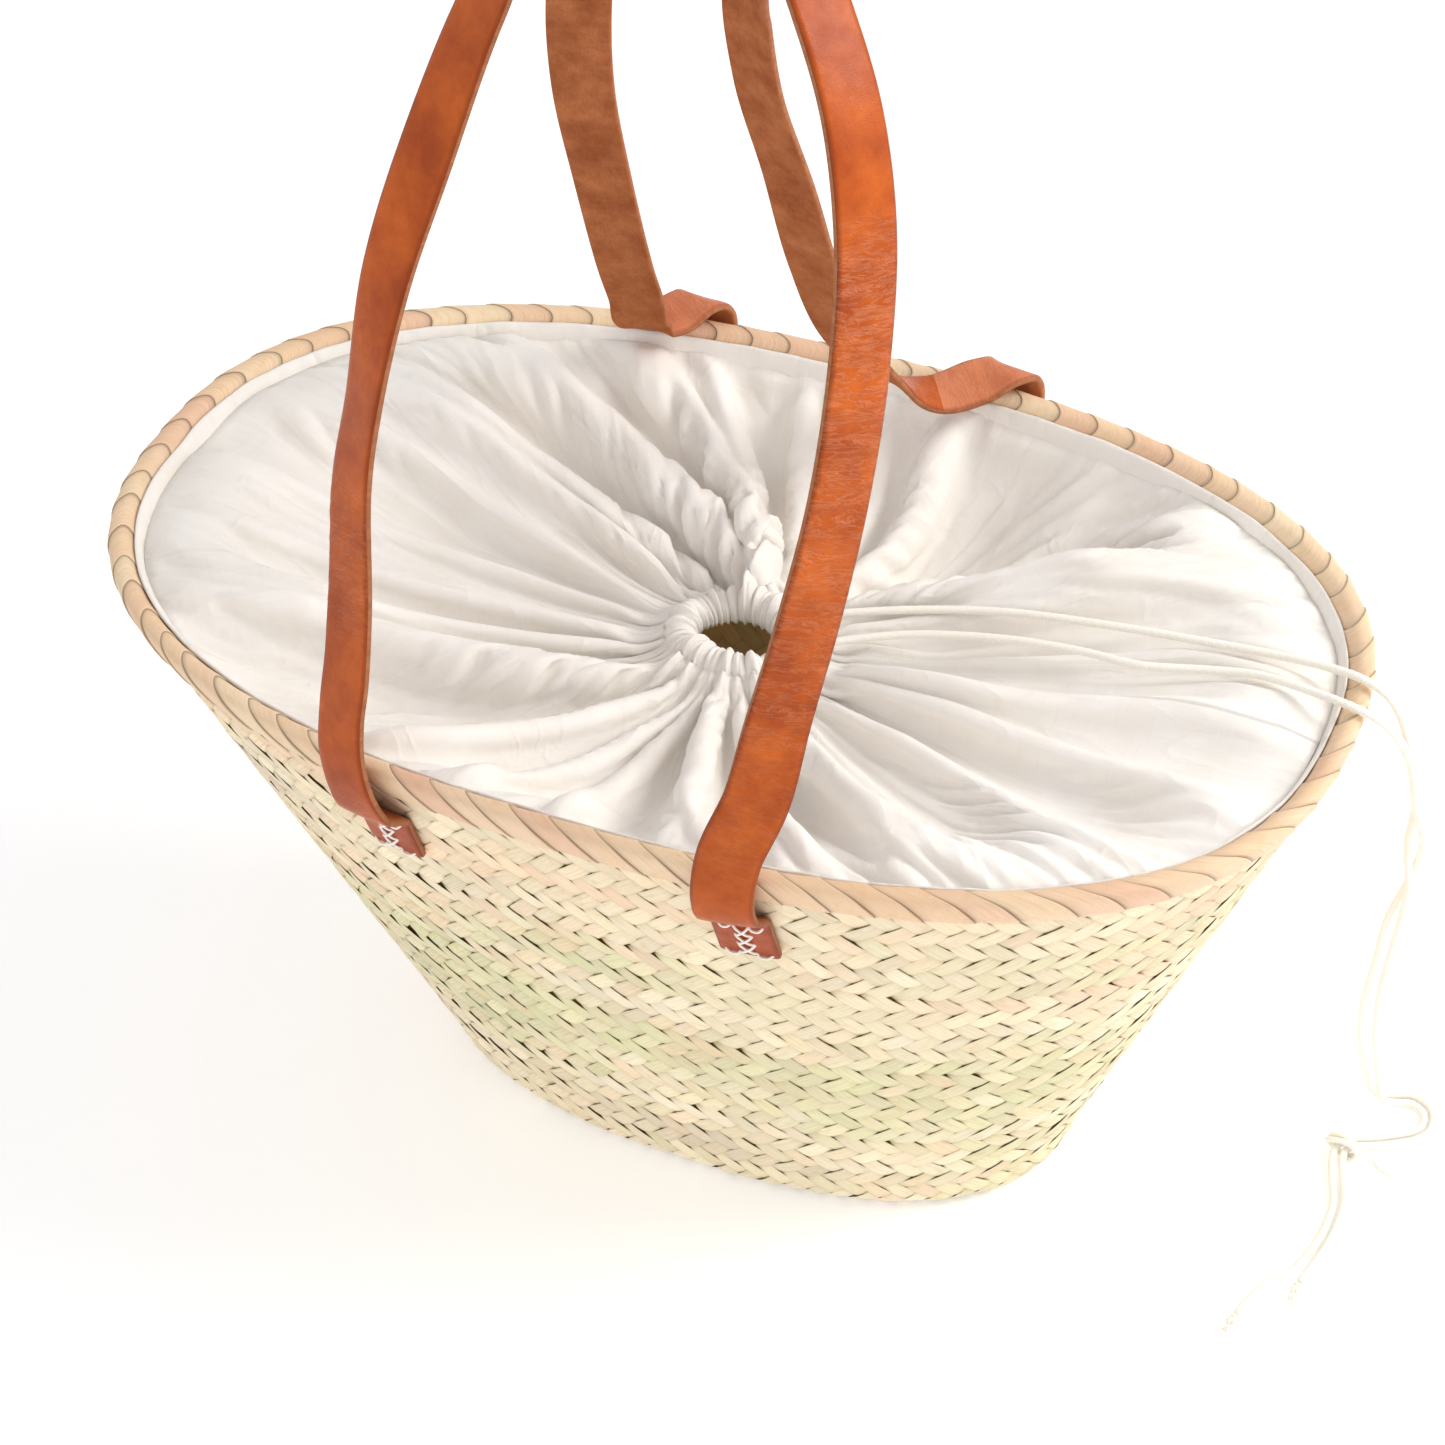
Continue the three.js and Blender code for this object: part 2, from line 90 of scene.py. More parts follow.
def make_camera():
    azimuth, elevation, roll = (math.radians(a) for a in CAMERA_TURN)
    back = Vector((
        math.sin(azimuth) * math.cos(elevation),
        -math.cos(azimuth) * math.cos(elevation),
        math.sin(elevation),
    ))
    right = (-back).cross(Vector((0, 0, 1))).normalized()
    up = right.cross(-back)
    turned_right = right * math.cos(roll) + up * math.sin(roll)
    turned_up = up * math.cos(roll) - right * math.sin(roll)
    matrix = Matrix((turned_right, turned_up, back)).transposed().to_4x4()
    matrix.translation = Vector(CAMERA_TARGET) + back * CAMERA_DISTANCE
    data = bpy.data.cameras.new("camera")
    data.sensor_width = SENSOR_WIDTH
    data.lens = LENS
    camera = bpy.data.objects.new("camera", data)
    camera.matrix_world = matrix
    bpy.context.scene.collection.objects.link(camera)
    bpy.context.scene.camera = camera


make_camera()


# ---------------------------------------------------------------- meshes and curves


def mesh_object(name, vertices, faces, materials, uv=None, colors=None, slots=None, smooth=True):
    """A mesh in millimetres. uv and colors are per vertex, slots says which material a face takes."""
    mesh = bpy.data.meshes.new(name)
    points = np.asarray(vertices, float).reshape(-1, 3) * MM
    mesh.from_pydata(points.tolist(), [], faces if isinstance(faces, list) else faces.tolist())
    if uv is not None:
        corners = np.empty(len(mesh.loops), np.int32)
        mesh.loops.foreach_get("vertex_index", corners)
        layer = mesh.uv_layers.new(name="lay")
        layer.data.foreach_set("uv", np.asarray(uv, np.float32).reshape(-1, 2)[corners].ravel())
    if colors is not None:
        layer = mesh.color_attributes.new("tint", "FLOAT_COLOR", "POINT")
        rgba = np.c_[np.asarray(colors, float).reshape(-1, 3), np.ones(len(points))]
        layer.data.foreach_set("color", rgba.astype(np.float32).ravel())
    for material in materials:
        mesh.materials.append(material)
    if slots is not None:
        mesh.polygons.foreach_set("material_index", np.asarray(slots, np.int32))
    mesh.polygons.foreach_set("use_smooth", np.full(len(mesh.polygons), smooth))
    obj = bpy.data.objects.new(name, mesh)
    bpy.context.scene.collection.objects.link(obj)
    return obj


def on_basket(piece, slot, *replaced):
    """The piece stands on the basket's body and stands for CAD nodes. slot is not used."""
    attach(piece, "basket")
    if replaced:
        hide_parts(*replaced)
    return piece


def grid_faces(rows, columns, closed_rows=False, closed_columns=False):
    """Quads over a grid of points that is numbered row by row."""
    i = np.arange(rows if closed_rows else rows - 1)
    j = np.arange(columns if closed_columns else columns - 1)
    i, j = np.meshgrid(i, j, indexing="ij")
    i2, j2 = (i + 1) % rows, (j + 1) % columns
    quads = [i * columns + j, i * columns + j2, i2 * columns + j2, i2 * columns + j]
    return np.stack(quads, -1).reshape(-1, 4)


def tube_faces(rows, sides):
    """Quads round a tube and one face over each end."""
    last_row = [(rows - 1) * sides + i for i in range(sides)]
    return grid_faces(rows, sides, closed_columns=True).tolist() + [list(range(sides))[::-1], last_row]


def catmull(points, per_span, power):
    """A Catmull-Rom curve through the points: power 0.5 is centripetal, 0 is uniform."""
    p = np.array(points, float)
    p = np.vstack([2 * p[0] - p[1], p, 2 * p[-1] - p[-2]])
    t = np.linspace(0, 1, per_span, endpoint=False)[:, None]
    spans = []
    for p0, p1, p2, p3 in zip(p, p[1:], p[2:], p[3:]):
        d0, d1, d2 = (np.linalg.norm(b - a) ** power for a, b in ((p0, p1), (p1, p2), (p2, p3)))
        m1 = ((p1 - p0) / d0 - (p2 - p0) / (d0 + d1) + (p2 - p1) / d1) * d1
        m2 = ((p2 - p1) / d1 - (p3 - p1) / (d1 + d2) + (p3 - p2) / d2) * d1
        cubic = (2 * p1 - 2 * p2 + m1 + m2) * t ** 3
        spans.append(p1 + m1 * t + (3 * p2 - 3 * p1 - 2 * m1 - m2) * t ** 2 + cubic)
    return np.vstack([*spans, p[-2:-1]])


def unit(vectors):
    return vectors / np.linalg.norm(vectors, axis=-1, keepdims=True)


def even(points, step):
    """The same line with points that are about step apart."""
    at = np.r_[0, np.cumsum(np.linalg.norm(np.diff(points, axis=0), axis=1))]
    where = np.linspace(0, at[-1], max(2, round(at[-1] / step) + 1))
    return np.stack([np.interp(where, at, column) for column in points.T], 1), where


def normals_along(centre):
    """Two unit normals of a line, which don't spin along it."""
    tangent = unit(np.gradient(centre, axis=0))
    side = np.zeros_like(centre)
    last = np.cross(tangent[0], (0.0, 0.0, 1.0))
    if np.linalg.norm(last) < 1e-3:
        last = np.array((1.0, 0.0, 0.0))
    for i, t in enumerate(tangent):
        last = last - t * last.dot(t)
        last = last / np.linalg.norm(last)
        side[i] = last
    return side, np.cross(tangent, side)


# ---------------------------------------------------------------- materials


def rgb(red, green, blue):
    """A colour as it is seen, 0 to 255, as the linear colour that shaders take."""
    seen = np.array((red, green, blue)) / 255
    return tuple(np.where(seen <= 0.04045, seen / 12.92, ((seen + 0.055) / 1.055) ** 2.4))


class Nodes:
    """A principled material and short calls that add nodes to it."""

    def __init__(self, name, roughness, specular=0.5):
        self.material = bpy.data.materials.new(name)
        self.material.use_nodes = True
        self.tree = self.material.node_tree
        self.shader = self.tree.nodes["Principled BSDF"]
        self.shader.inputs["Roughness"].default_value = roughness
        self.shader.inputs["Specular IOR Level"].default_value = specular

    def set(self, socket, value):
        if isinstance(value, bpy.types.NodeSocket):
            self.tree.links.new(value, socket)
        elif isinstance(value, tuple) and len(value) == 3 and socket.type == "RGBA":
            socket.default_value = (*value, 1)
        else:
            socket.default_value = value

    def add(self, kind, output=0, settings=None, **inputs):
        node = self.tree.nodes.new(kind)
        for key, value in (settings or {}).items():
            setattr(node, key, value)
        for key, value in inputs.items():
            self.set(node.inputs[key.replace("_", " ")], value)
        return node.outputs[output]

    def position(self):
        return self.add("ShaderNodeTexCoord", "Object")

    def lay(self):
        return self.add("ShaderNodeUVMap", 0, {"uv_map": "lay"})

    def tint(self):
        return self.add("ShaderNodeAttribute", "Color", {"attribute_name": "tint"})

    def scaled(self, vector, x, y, z):
        return self.add("ShaderNodeMapping", 0, None, Vector=vector, Scale=(x, y, z))

    def noise(self, vector, scale, detail=3.0, rough=0.5, distortion=0.0):
        return self.add("ShaderNodeTexNoise", "Fac", None, Vector=vector, Scale=scale,
                        Detail=detail, Roughness=rough, Distortion=distortion)

    def wave(self, vector, scale, distortion=0.0, direction="X", detail=2.0):
        return self.add("ShaderNodeTexWave", "Fac", {"bands_direction": direction},
                        Vector=vector, Scale=scale, Distortion=distortion, Detail=detail)

    def math(self, operation, a, b=0.0):
        node = self.tree.nodes.new("ShaderNodeMath")
        node.operation = operation
        self.set(node.inputs[0], a)
        self.set(node.inputs[1], b)
        return node.outputs[0]

    def fit(self, value, low, high, to_low=0.0, to_high=1.0):
        node = self.tree.nodes.new("ShaderNodeMapRange")
        for index, entry in enumerate((value, low, high, to_low, to_high)):
            self.set(node.inputs[index], entry)
        return node.outputs[0]

    def mix(self, share, a, b, blend="MIX"):
        node = self.tree.nodes.new("ShaderNodeMix")
        node.data_type = "RGBA"
        node.blend_type = blend
        self.set(node.inputs[0], share)
        self.set(node.inputs[6], a)
        self.set(node.inputs[7], b)
        return node.outputs[2]

    def finish(self, color, bump=None, strength=0.3, distance=0.0005, roughness=None):
        self.set(self.shader.inputs["Base Color"], color)
        if roughness is not None:
            self.set(self.shader.inputs["Roughness"], roughness)
        if bump is not None:
            normal = self.add("ShaderNodeBump", 0, None, Height=bump, Strength=strength,
                              Distance=distance)
            self.set(self.shader.inputs["Normal"], normal)
        return self.material


def leaf_material(name, roughness, dark):
    """Palm leaf: long fibres, faint blotches and a tint of its own on each leaf."""
    n = Nodes(name, roughness, 0.35)
    fibres = n.noise(n.scaled(n.lay(), 0.05, 1.6, 1), 1.0, 3.0, 0.65)
    fine = n.noise(n.scaled(n.lay(), 0.09, 5.0, 1), 1.0, 2.0, 0.6)
    blotch = n.noise(n.position(), 130.0, 4.0, 0.6)
    color = n.mix(n.fit(fibres, 0.35, 0.75, 0.0, 0.42), n.tint(), dark, "MULTIPLY")
    color = n.mix(n.fit(fine, 0.5, 0.8, 0.0, 0.28), color, dark, "MULTIPLY")
    color = n.mix(n.fit(blotch, 0.56, 0.74, 0.0, 0.25), color, rgb(196, 160, 104))
    height = n.math("ADD", fibres, n.math("MULTIPLY", fine, 0.6))
    return n.finish(color, height, 0.45, 0.0005, n.fit(blotch, 0.3, 0.7, roughness - 0.1, roughness + 0.1))


def core_material():
    """The shaded body of the plait between the leaves."""
    n = Nodes("plait_shadow", 0.9, 0.1)
    mottled = n.noise(n.position(), 240.0, 3.0, 0.6)
    color = n.mix(mottled, rgb(150, 130, 78), rgb(196, 174, 118))
    return n.finish(color, mottled, 0.4, 0.0008)


def cotton_material():
    n = Nodes("cotton_muslin", 0.88, 0.2)
    warp = n.wave(n.scaled(n.lay(), 1, 0, 0), 1.15, 0.6, "X")
    weft = n.wave(n.scaled(n.lay(), 0, 1, 0), 1.15, 0.6, "Y")
    slub = n.noise(n.scaled(n.lay(), 0.035, 1.1, 1), 1.0, 3.0, 0.7)
    cross_slub = n.noise(n.scaled(n.lay(), 1.1, 0.035, 1), 1.0, 3.0, 0.7)
    cloud = n.noise(n.position(), 26.0, 4.0, 0.6)
    base = n.mix(n.fit(cloud, 0.35, 0.7), rgb(244, 240, 234), rgb(239, 233, 224))
    streak = n.math("MAXIMUM", slub, cross_slub)
    base = n.mix(n.fit(streak, 0.56, 0.8, 0.0, 0.35), base, rgb(226, 218, 206))
    threads = n.math("ADD", n.math("MULTIPLY", warp, 0.5), n.math("MULTIPLY", weft, 0.5))
    base = n.mix(n.fit(threads, 0.0, 0.5, 0.10, 0.0), base, rgb(214, 204, 188))
    long_crease = n.noise(n.scaled(n.lay(), 0.03, 0.006, 1), 1.0, 2.0, 0.5, 0.4)
    short_crease = n.noise(n.scaled(n.lay(), 0.035, 0.03, 1), 1.0, 2.5, 0.55, 0.6)
    height = n.math("ADD", n.math("MULTIPLY", threads, 0.35), n.math("MULTIPLY", streak, 0.6))
    for crease, depth in ((long_crease, 3.2), (short_crease, 1.6)):
        away = n.math("ABSOLUTE", n.math("SUBTRACT", crease, 0.5))
        height = n.math("ADD", height, n.fit(away, 0.0, 0.06, depth, 0.0))
    n.shader.inputs["Sheen Weight"].default_value = 0.15
    n.shader.inputs["Sheen Roughness"].default_value = 0.5
    return n.finish(base, height, 0.5, 0.0004)


def cord_material():
    n = Nodes("cotton_cord", 0.85, 0.2)
    ply = n.wave(n.scaled(n.lay(), 1, 1, 0), 0.45, 0.5, "DIAGONAL")
    fluff = n.noise(n.position(), 900.0, 3.0, 0.7)
    color = n.mix(n.fit(ply, 0.0, 0.5, 0.4, 0.0), rgb(250, 246, 236), rgb(222, 210, 188))
    color = n.mix(n.fit(fluff, 0.5, 0.8, 0.0, 0.25), color, rgb(226, 216, 196))
    n.shader.inputs["Sheen Weight"].default_value = 0.25
    n.shader.inputs["Sheen Roughness"].default_value = 0.5
    return n.finish(color, n.math("ADD", ply, fluff), 0.35, 0.0004)


def grain_material(name, light, deep, roughness):
    """The smooth tanned side: pores, cloudy dye, darker edges, and creases where it was bent, with a painted
    highlight on the crease ridges.
    """
    n = Nodes(name, roughness, 0.15)
    n.shader.inputs["Coat Weight"].default_value = 0.08
    n.shader.inputs["Coat Roughness"].default_value = 0.22
    cloud = n.noise(n.position(), 34.0, 5.0, 0.62)
    mottle = n.noise(n.position(), 210.0, 4.0, 0.6)
    pores = n.add("ShaderNodeTexVoronoi", "Distance", None, Vector=n.position(), Scale=1500.0)
    color = n.mix(n.fit(cloud, 0.32, 0.7), deep, light)
    color = n.mix(n.fit(mottle, 0.45, 0.75, 0.0, 0.35), color, deep)
    edge = n.math("ABSOLUTE", n.add("ShaderNodeSeparateXYZ", "Y", None, Vector=n.lay()))
    color = n.mix(n.fit(edge, 10.6, 12.4, 0.0, 0.55), color, rgb(92, 32, 8))
    creased = n.tint()
    folds = n.noise(n.scaled(n.lay(), 1.0, 0.2, 1), 0.32, 4.0, 0.62, 0.9)
    ridges = n.math("ABSOLUTE", n.math("SUBTRACT", folds, 0.5))
    wrinkle = n.math("MULTIPLY", n.fit(ridges, 0.0, 0.07, 1.0, 0.0), creased)
    # painted highlight: the crease ridges are lightened towards pinkish white
    color = n.mix(n.math("MULTIPLY", wrinkle, 0.22), color, rgb(232, 150, 108))
    height = n.math("SUBTRACT", n.math("MULTIPLY", pores, 0.22), n.math("MULTIPLY", wrinkle, 2.4))
    height = n.math("ADD", height, n.math("MULTIPLY", mottle, 0.35))
    shine = n.math("ADD", n.fit(mottle, 0.3, 0.7, roughness - 0.07, roughness + 0.09),
                   n.math("MULTIPLY", creased, -0.1))
    return n.finish(color, height, 0.42, 0.0006, shine)


def flesh_material():
    """The rough inner side of the hide."""
    n = Nodes("leather_flesh", 0.92, 0.06)
    cloud = n.noise(n.position(), 60.0, 5.0, 0.65)
    fibres = n.noise(n.scaled(n.lay(), 0.25, 1.3, 1), 1.0, 5.0, 0.75, 1.2)
    nap = n.noise(n.position(), 1300.0, 3.0, 0.7)
    color = n.mix(n.fit(cloud, 0.3, 0.7), rgb(150, 82, 48), rgb(194, 122, 78))
    color = n.mix(n.fit(fibres, 0.45, 0.75, 0.0, 0.36), color, rgb(100, 44, 18))
    color = n.mix(n.fit(nap, 0.55, 0.8, 0.0, 0.3), color, rgb(206, 150, 116))
    return n.finish(color, n.math("ADD", fibres, nap), 0.5, 0.0006)


def cut_edge_material():
    n = Nodes("leather_cut_edge", 0.8, 0.2)
    layers = n.noise(n.scaled(n.lay(), 0.4, 3.0, 1), 1.0, 4.0, 0.7)
    color = n.mix(layers, rgb(112, 56, 30), rgb(196, 132, 92))
    return n.finish(color, layers, 0.5, 0.0004)


def thread_material():
    n = Nodes("waxed_thread", 0.6, 0.4)
    ply = n.wave(n.position(), 700.0, 1.0, "DIAGONAL")
    color = n.mix(n.fit(ply, 0.0, 0.6, 0.35, 0.0), rgb(250, 244, 236), rgb(214, 196, 178))
    return n.finish(color, ply, 0.4, 0.0002)


PALM = leaf_material("palm_leaf", 0.62, rgb(196, 176, 128))
RIM_LEAF = leaf_material("palm_rim_leaf", 0.5, rgb(214, 176, 132))
CORE = core_material()
COTTON = cotton_material()
CORD = cord_material()
GRAIN = grain_material("leather_grain", rgb(198, 96, 28), rgb(154, 62, 12), 0.34)
# painted light: a lighter copy of the strap's grain for the back strap's rolls over the rim, where they face
# up to the light
LIT_LOOP_GRAIN = grain_material("leather_loop_painted_light", rgb(216, 136, 96), rgb(188, 104, 66), 0.4)
# painted shade: a darker copy of the strap's grain for the sewn ends, which sit under the fold on the wall
SHADED_TAB_GRAIN = grain_material("leather_tab_painted_shade", rgb(178, 84, 40), rgb(142, 56, 24), 0.4)
FLESH = flesh_material()
CUT_EDGE = cut_edge_material()
THREAD = thread_material()


# ---------------------------------------------------------------- the drawstring

STRAND_A = [
    (31, 18, 259.5), (38, 21.5, 261), (48, 25, 262.5), (77, 33, 266.5), (110, 38.5, 271), (154, 39, 277.5),
    (198, 37, 284), (230, 35, 288.5), (250, 31.5, 292), (264, 27.5, 294.2), (274, 25.5, 291.5),
    (280, 25.5, 283), (285, 27.5, 262), (288.5, 31.8, 234), (286.2, 32.4, 206), (288.1, 32.5, 180),
    (285.1, 36.3, 155), (281.4, 37.4, 128), (278.2, 39.7, 100), (277, 43.5, 70), (277.5, 50, 42),
    (278, 56.5, 19), (279.3, 61, 8), (283.2, 66.3, 2.6), (289.9, 68.4, 2.2), (296.2, 64.9, 2.2),
    (297.8, 57.7, 2.2), (294.9, 52.8, 2.2), (287.5, 47.6, 2.2), (279.5, 42.2, 3.2), (271.4, 36.7, 5),
    (267.2, 30.1, 6.5), (267.6, 22.2, 4.8), (270.2, 14.4, 2.8), (274.7, 2, 2.2), (275.5, -14, 2.2),
    (273, -30, 2.2), (269, -41, 2.2), (262.5, -49, 2.2), (258, -59, 2.2), (255.5, -71.2, 3.6),
]
STRAND_B = [
    (37.5, 3, 259.5), (45, 5, 261.5), (55, 9, 263.5), (79, 17, 267), (117, 22, 272.5), (150, 21.5, 277),
    (176, 18, 281), (204, 21, 285), (224, 21.5, 288.5), (246, 16.5, 292), (264.5, 11.5, 294.2),
    (275, 11, 291.5), (281.5, 14, 283), (287, 21, 262), (289.5, 26.2, 234), (291.9, 33.6, 206),
    (286.9, 38, 180), (279.9, 35.3, 155), (276.6, 34.6, 128), (272.6, 36.3, 100), (271.3, 40.5, 70),
    (272, 48, 42), (273, 57.5, 19), (275, 64.2, 8), (280.4, 70, 2.6), (290.3, 73, 2.2),
    (299.6, 67.6, 2.2), (302.1, 56.9, 2.2), (297.6, 49.4, 2.2), (290, 44.1, 2.2), (282, 38.7, 3.2),
    (274.3, 33.4, 5), (271.5, 28.7, 6.5), (271.9, 23.4, 4.8), (274.6, 16, 2.8), (279.2, 3, 2.2),
    (280, -14, 2.2), (277.8, -30, 2.2), (274.9, -45.2, 3.6),
]
TIE = (269.6, 29.4, 6.7)
TIE_TURN = math.radians(-15)
KNOT_A = (255, -75.2, 4)
KNOT_B = (274.8, -49.2, 4)
PLIES = 3


def twisted_cord(name, line, diameter, pitch=11.0, sides=15, step=1.0, material=CORD):
    """A laid cord: a tube whose section is that of its twisted plies. pitch is the length of a twist."""
    centre, at = even(line, step)
    side, other = normals_along(centre)
    angle = np.linspace(0, 2 * np.pi, sides, endpoint=False)
    twist = 2 * np.pi * at / pitch
    bulge = 1 - 0.11 * np.abs(np.sin(PLIES * 0.5 * (angle[None, :] - twist[:, None]))) ** 3
    radius = diameter / 2 * 1.02 * bulge
    radius[[0, -1]] *= 0.5
    across = (radius * np.cos(angle))[..., None] * side[:, None]
    across = across + (radius * np.sin(angle))[..., None] * other[:, None]
    uv = np.stack(np.broadcast_arrays(at[:, None], angle[None, :] * diameter / 2), -1)
    return mesh_object(name, centre[:, None] + across, tube_faces(len(centre), sides), [material], uv)


def join(name, objects):
    """One object from several, under a new name."""
    with bpy.context.temp_override(active_object=objects[0], selected_editable_objects=objects,
                                   selected_objects=objects):
        bpy.ops.object.join()
    objects[0].name = name
    objects[0].data.name = name
    return objects[0]


def overhand(name, centre, size, along):
    """A small overhand knot of the same cord: a trefoil pulled tight."""
    t = np.linspace(0, 2 * np.pi, 60)
    trefoil = np.stack([
        np.sin(t) + 1.5 * np.sin(2 * t),
        np.cos(t) - 1.5 * np.cos(2 * t),
        -1.1 * np.sin(3 * t),
    ], 1) * size / 4.6
    forward = unit(np.array(along, float))
    side = unit(np.cross(forward, (0.0, 0.0, 1.0)))
    up = np.cross(side, forward)
    line = trefoil[:, :1] * forward + trefoil[:, 1:2] * side * 0.9 + trefoil[:, 2:] * up * 0.8
    return twisted_cord(name, line + np.array(centre), 2.5, pitch=9.0, sides=10)


def frayed_end(name, start, along, length):
    """Loose plies at the cut end of a cord."""
    pieces = []
    forward = unit(np.array(along, float))
    side = unit(np.cross(forward, (0.0, 0.0, 1.0)))
    for index, spread in enumerate((-0.5, -0.2, 0.05, 0.3, 0.55)):
        reach = length * (0.75 + 0.25 * math.cos(3 * index))
        t = np.linspace(0, 1, 6)[:, None]
        line = np.array(start) + forward * reach * t + side * spread * reach * t ** 1.5
        line[:, 2] = np.clip(line[:, 2] - 1.5 * t[:, 0] + 0.3 * math.sin(index * 2), 0.6, None)
        pieces.append(twisted_cord(f"{name}_{index}", line, 0.9, pitch=5.0, sides=6))
    return pieces


def make_cords():
    tie = make_tie()
    for letter, points, knot_at in (("a", STRAND_A, KNOT_A), ("b", STRAND_B, KNOT_B)):
        line = catmull(points, 12, 0.5)
        along = np.array(points[-1], float) - np.array(points[-3], float)
        along[2] = 0
        beyond = np.array(knot_at, float) + unit(along) * 2.5
        knot = join(f"cord_end_{letter}", [
            overhand(f"cord_end_{letter}_knot", knot_at, 3.9, along),
            *frayed_end(f"cord_end_{letter}_fray", beyond, along, 6.5),
        ])
        cord = twisted_cord(f"drawstring_{letter}", line, CORD_DIAMETER)
        on_basket(cord, "cotton_cord", f"drawstring_strand_{letter}")
        on_basket(knot, "cotton_cord", f"drawstring_end_knot_{letter}")


def make_tie():
    """Both strands tied together: a round turn with a half knot and one short tail."""
    angle = np.linspace(0, 2 * np.pi, 40)
    turn = np.stack([7.6 * np.cos(angle), 1.1 * np.sin(2 * angle), 4.6 * np.sin(angle)], 1)
    second = np.stack([7.4 * np.cos(angle), 1.9 + 0.9 * np.sin(angle), 4.4 * np.sin(angle)], 1)
    tail = catmull([(6.5, 1, 1.5), (10, 3, 0), (14, 4, -2.5), (19, 2.5, -4.2), (24, 3.5, -4.4)], 8, 0.5)
    c, s = math.cos(TIE_TURN), math.sin(TIE_TURN)
    rotation = np.array(((c, -s, 0), (s, c, 0), (0, 0, 1)))
    parts = []
    for index, (line, diameter) in enumerate(((turn, 2.7), (second, 2.7), (tail, 2.8))):
        placed_line = line @ rotation.T + np.array(TIE)
        parts.append(twisted_cord(f"cord_tie_{index}", placed_line, diameter, pitch=9.0, sides=10))
    return on_basket(join("cord_tie", parts), "cotton_cord", "drawstring_tie_knot")


make_cords()


# ---------------------------------------------------------------- the oval body


def half_axes(z):
    share = (np.asarray(z, float) - FOOT_ROUND) / (RIM_ROOF - FOOT_ROUND)
    top_x = MOUTH_LENGTH / 2 - EDGE_INSET
    top_y = MOUTH_DEPTH / 2 - EDGE_INSET
    foot_x, foot_y = BASE_LENGTH / 2, BASE_DEPTH / 2
    return foot_x + (top_x - foot_x) * share, foot_y + (top_y - foot_y) * share


def oval(half_x, half_y, angle):
    c, s = np.cos(angle), np.sin(angle)
    power = 2 / OVAL_POWER
    return half_x * np.sign(c) * np.abs(c) ** power, half_y * np.sign(s) * np.abs(s) ** power


def wall_depth(x, z):
    """The outer face of the wall at x: y, counted outwards."""
    half_x, half_y = half_axes(z)
    return half_y * (1 - (abs(x) / half_x) ** OVAL_POWER) ** (1 / OVAL_POWER)


class Ring:
    """The oval at one height, walked at an even pace: turn 0 to 1 gives the angle for oval()."""

    def __init__(self, z, inset=0.0):
        half_x, half_y = half_axes(z)
        self.angles = np.linspace(0, 2 * np.pi, 4001)
        x, y = oval(half_x - inset, half_y - inset, self.angles)
        steps = np.hypot(np.diff(x), np.diff(y))
        self.at = np.r_[0, np.cumsum(steps)]
        self.length = self.at[-1]

    def angle(self, turn):
        return np.interp(np.mod(turn, 1) * self.length, self.at, self.angles)


def wall_profile(t):
    """Inset from the wall's outer face and height, t millimetres up from the floor edge."""
    t = np.asarray(t, float)
    arc = np.clip(t / FOOT_ARC, -0.3, 1) * np.pi / 2
    inset = np.where(t < FOOT_ARC, FOOT_ROUND * (1 - np.sin(arc)), 0)
    z = np.where(t < FOOT_ARC, FOOT_ROUND * (1 - np.cos(arc)), FOOT_ROUND + (t - FOOT_ARC))
    lean_x = np.where(t < FOOT_ARC, np.sin(arc), 1)
    lean_z = np.where(t < FOOT_ARC, -np.cos(arc), 0)
    return inset, z, lean_x, lean_z


def on_wall(ring, turn, t, lift):
    """A point of the wall: lift is counted outwards from the face of the CAD wall."""
    inset, z, out, down = wall_profile(t)
    half_x, half_y = half_axes(np.maximum(z, FOOT_ROUND))
    grow = lift * out - inset
    x, y = oval(half_x + grow, half_y + grow, ring.angle(turn))
    return np.stack(np.broadcast_arrays(x, y, np.maximum(z + lift * down, FLOOR_GAP)), -1)


# ---------------------------------------------------------------- plaited leaf

LEAF_TINTS = {
    "cream": np.array(rgb(247, 233, 202)),
    "pale": np.array(rgb(253, 243, 218)),
    "green": np.array(rgb(225, 224, 180)),
    "grey": np.array(rgb(222, 209, 188)),
    "peach": np.array(rgb(248, 212, 180)),
}


def wander(turn, seed, waves=5):
    """A smooth random line round the basket, about -1 to 1."""
    source = np.random.default_rng(seed)
    total = np.zeros_like(turn)
    for k in range(1, waves + 1):
        total += source.normal() * np.cos(2 * np.pi * (k * turn + source.random())) / k ** 0.5
    return total / 1.6


def leaf_tint(turn, height, row):
    """The colour of leaves: bands that follow the rows, greener low down and pinker higher up."""
    pale = 0.9 * wander(turn, 400 + row) + 0.55 * (0.4 - height)
    green = 0.55 * wander(turn, 100 + row // 3) + 1.1 * np.exp(-((height - 0.42) / 0.2) ** 2) - 0.1
    grey = 0.9 * wander(turn, 300 + row // 2) - 0.35
    peach = 0.7 * wander(turn, 200 + row) + 1.4 * (height - 0.62) + 0.3 * np.sin(2 * np.pi * turn)
    color = np.repeat(LEAF_TINTS["cream"][None], len(turn), 0)
    for name, share in (
        ("pale", np.clip(pale, 0, 1)),
        ("green", np.clip(green, 0, 1) * 0.8),
        ("grey", np.clip(grey, 0, 0.75)),
        ("peach", np.clip(peach, 0, 1) * 0.75),
    ):
        jitter = np.clip(share + random.normal(0, 0.16, len(turn)), 0, 1)[:, None]
        color = color * (1 - jitter) + LEAF_TINTS[name] * jitter
    value = 1 + random.normal(0, 0.045, len(turn))
    return color * value[:, None]


